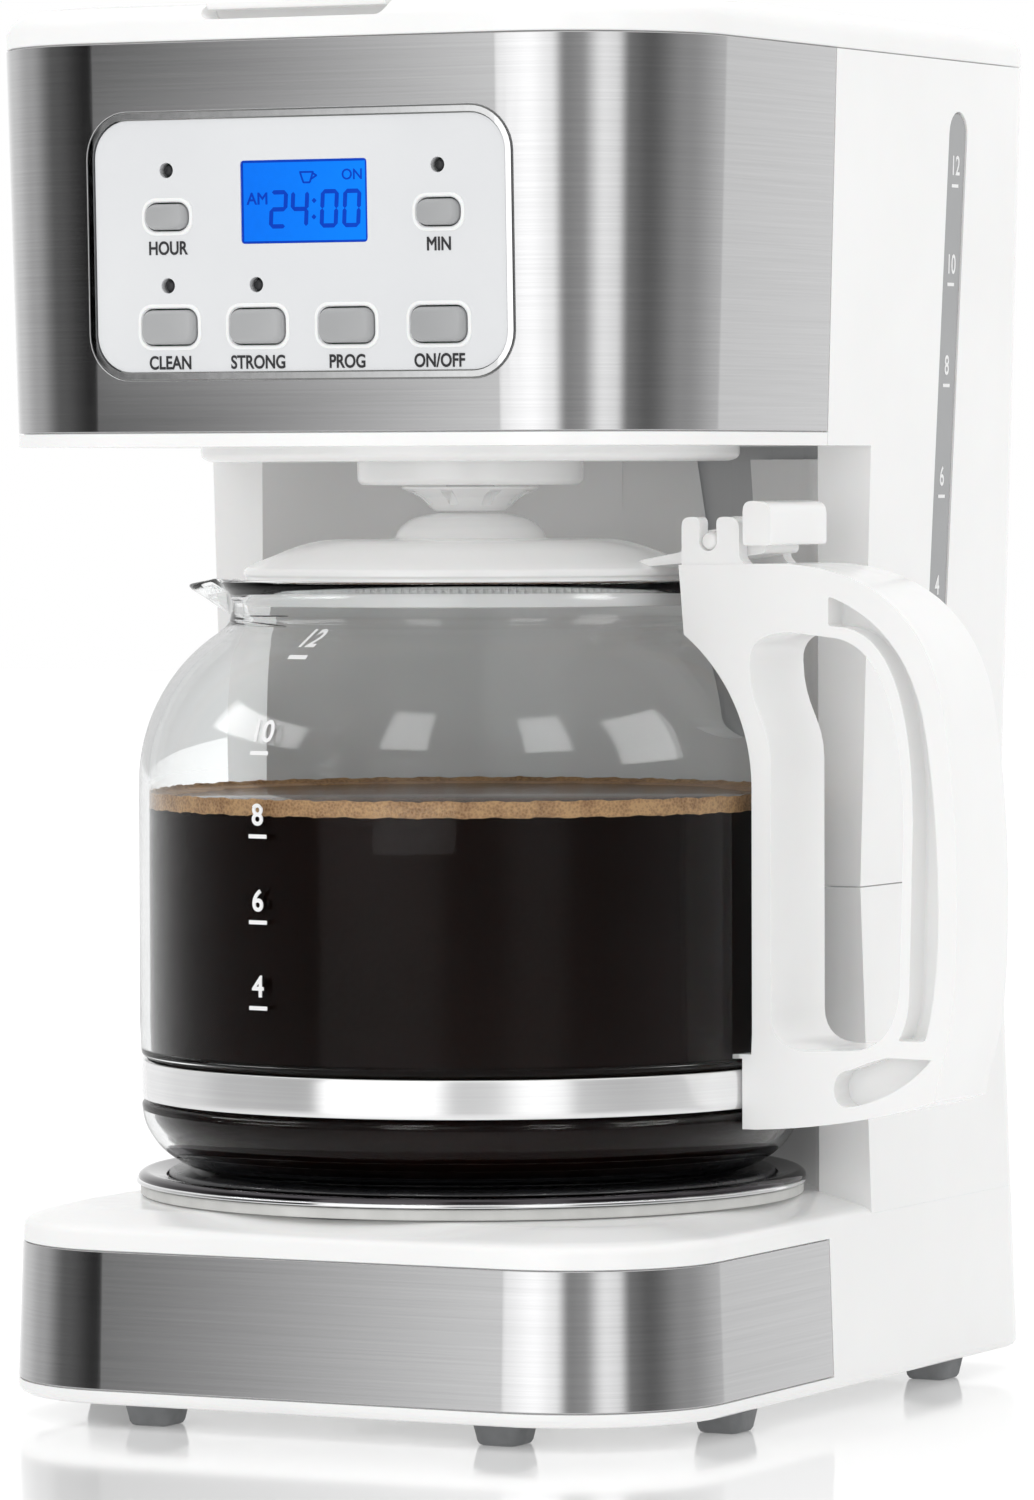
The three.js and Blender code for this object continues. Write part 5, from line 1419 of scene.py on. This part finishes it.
class World:
    """Short helpers for the world's node tree."""

    def __init__(self):
        world = bpy.data.worlds.new("studio")
        bpy.context.scene.world = world
        world.use_nodes = True
        self.tree = world.node_tree
        self.background = self.tree.nodes["Background"]
        place = self.tree.nodes.new("ShaderNodeTexCoord").outputs["Generated"]
        split = self.tree.nodes.new("ShaderNodeSeparateXYZ")
        self.link(place, split.inputs["Vector"])
        self.height = split.outputs["Z"]
        front = self.math("MULTIPLY", split.outputs["Y"], -1.0)
        self.azimuth = self.math("MULTIPLY", self.math("ARCTAN2", split.outputs["X"], front), 180 / math.pi)

    def link(self, source, target):
        self.tree.links.new(source, target)

    def math(self, operation, *values):
        made = self.tree.nodes.new("ShaderNodeMath")
        made.operation = operation
        for slot, value in zip(made.inputs, values):
            if isinstance(value, (int, float)):
                slot.default_value = value
            else:
                self.link(value, slot)
        return made.outputs["Value"]

    def round_room(self, stops):
        """A grey level for each azimuth."""
        share = self.math("MULTIPLY_ADD", self.azimuth, 1 / 360, 0.5)
        ramp = self.tree.nodes.new("ShaderNodeValToRGB")
        ramp.color_ramp.interpolation = "EASE"
        elements = ramp.color_ramp.elements
        while len(elements) < len(stops):
            elements.new(0.5)
        for element, (azimuth, value) in zip(elements, stops):
            element.position = (azimuth + 180) / 360
            element.color = (value, value, value, 1)
        self.link(share, ramp.inputs["Fac"])
        return ramp.outputs["Color"]

    def soft_step(self, value, start, end):
        made = self.tree.nodes.new("ShaderNodeMapRange")
        made.interpolation_type = "SMOOTHSTEP"
        made.inputs["From Min"].default_value, made.inputs["From Max"].default_value = start, end
        self.link(value, made.inputs["Value"])
        return made.outputs["Result"]

    def soft_box(self, azimuth, half, low, high):
        """One lit rectangle of the room, from the sine of its low edge to that of its high edge."""
        aside = self.math("ABSOLUTE", self.math("SUBTRACT", self.azimuth, azimuth))
        across = self.soft_step(aside, half + 1.5, half - 1.5)
        rise = self.soft_step(self.height, math.sin(math.radians(low)), math.sin(math.radians(low + 2)))
        fall = self.soft_step(self.height, math.sin(math.radians(high)), math.sin(math.radians(high - 2)))
        return self.math("MULTIPLY", across, self.math("MULTIPLY", rise, fall))

    def mix(self, factor, first, second):
        made = self.tree.nodes.new("ShaderNodeMix")
        made.data_type = "RGBA"
        for name, value in (("Factor", factor), ("A", first), ("B", second)):
            slot = [i for i in made.inputs if i.name == name and i.enabled][0]
            if isinstance(value, float):
                slot.default_value = (value, value, value, 1)
            else:
                self.link(value, slot)
        return made.outputs["Result"]


def studio_world():
    """A white room for the camera and for soft light, and a banded one for metal and glass to mirror."""
    world = World()
    overhead = world.soft_step(world.height, 0.35, 0.8)
    underfoot = world.soft_step(world.height, -0.12, -0.5)
    metal = world.mix(underfoot, world.mix(overhead, world.round_room(STUDIO), 1.15), 0.9)
    boxes = world.soft_box(*SOFT_BOXES[0])
    for box in SOFT_BOXES[1:]:
        boxes = world.math("MAXIMUM", boxes, world.soft_box(*box))
    room = world.mix(underfoot, world.mix(overhead, world.round_room(GLASS_ROOM), 0.7), 0.85)
    glass = world.mix(boxes, room, SOFT_BOX_LIGHT)
    below = world.soft_step(world.height, -0.1, 0.9)
    soft = world.mix(below, DIFFUSE_LOW, DIFFUSE_HIGH)
    path = world.tree.nodes.new("ShaderNodeLightPath").outputs
    mirrored = world.mix(path["Is Singular Ray"], metal, glass)
    scattered = world.math("GREATER_THAN", path["Diffuse Depth"], 0.5)
    lit = world.mix(scattered, mirrored, soft)
    seen_through = world.math("COMPARE", path["Ray Depth"], path["Transmission Depth"], 0.5)
    world.link(world.mix(seen_through, lit, 1.0), world.background.inputs["Color"])


CAMERA_AZIMUTH, CAMERA_PITCH = math.radians(26.698), math.radians(1.965)
CAMERA_ROLL = -0.003  # radians
CAMERA_DISTANCE, CAMERA_SIDE, CAMERA_HEIGHT = 1869.1, 1.82, 214.05
SENSOR = 36.0
FOCAL_LENGTH = 192.8976


def camera():
    back = Vector((math.sin(CAMERA_AZIMUTH), -math.cos(CAMERA_AZIMUTH), 0))
    right = Vector((math.cos(CAMERA_AZIMUTH), math.sin(CAMERA_AZIMUTH), 0))
    place = back * CAMERA_DISTANCE + right * CAMERA_SIDE + Vector((MID_X, 0, CAMERA_HEIGHT))
    look = -back * math.cos(CAMERA_PITCH) - Vector((0, 0, math.sin(CAMERA_PITCH)))
    lens = bpy.data.cameras.new("camera")
    lens.sensor_width, lens.lens = SENSOR, FOCAL_LENGTH
    lens.clip_start, lens.clip_end = 0.05, 50
    view = bpy.data.objects.new("camera", lens)
    bpy.context.scene.collection.objects.link(view)
    view.location = place * MM
    view.rotation_mode = "QUATERNION"
    roll = Matrix.Rotation(CAMERA_ROLL, 3, "Z").to_quaternion()
    view.rotation_quaternion = look.to_track_quat("-Z", "Y") @ roll
    bpy.context.scene.camera = view


camera()
build_pieces()
dress_frame()
floor()
studio_world()
for light_name, light_values in LIGHTS.items():
    area_light(light_name, *light_values)
bpy.context.scene.view_settings.view_transform = "Standard"
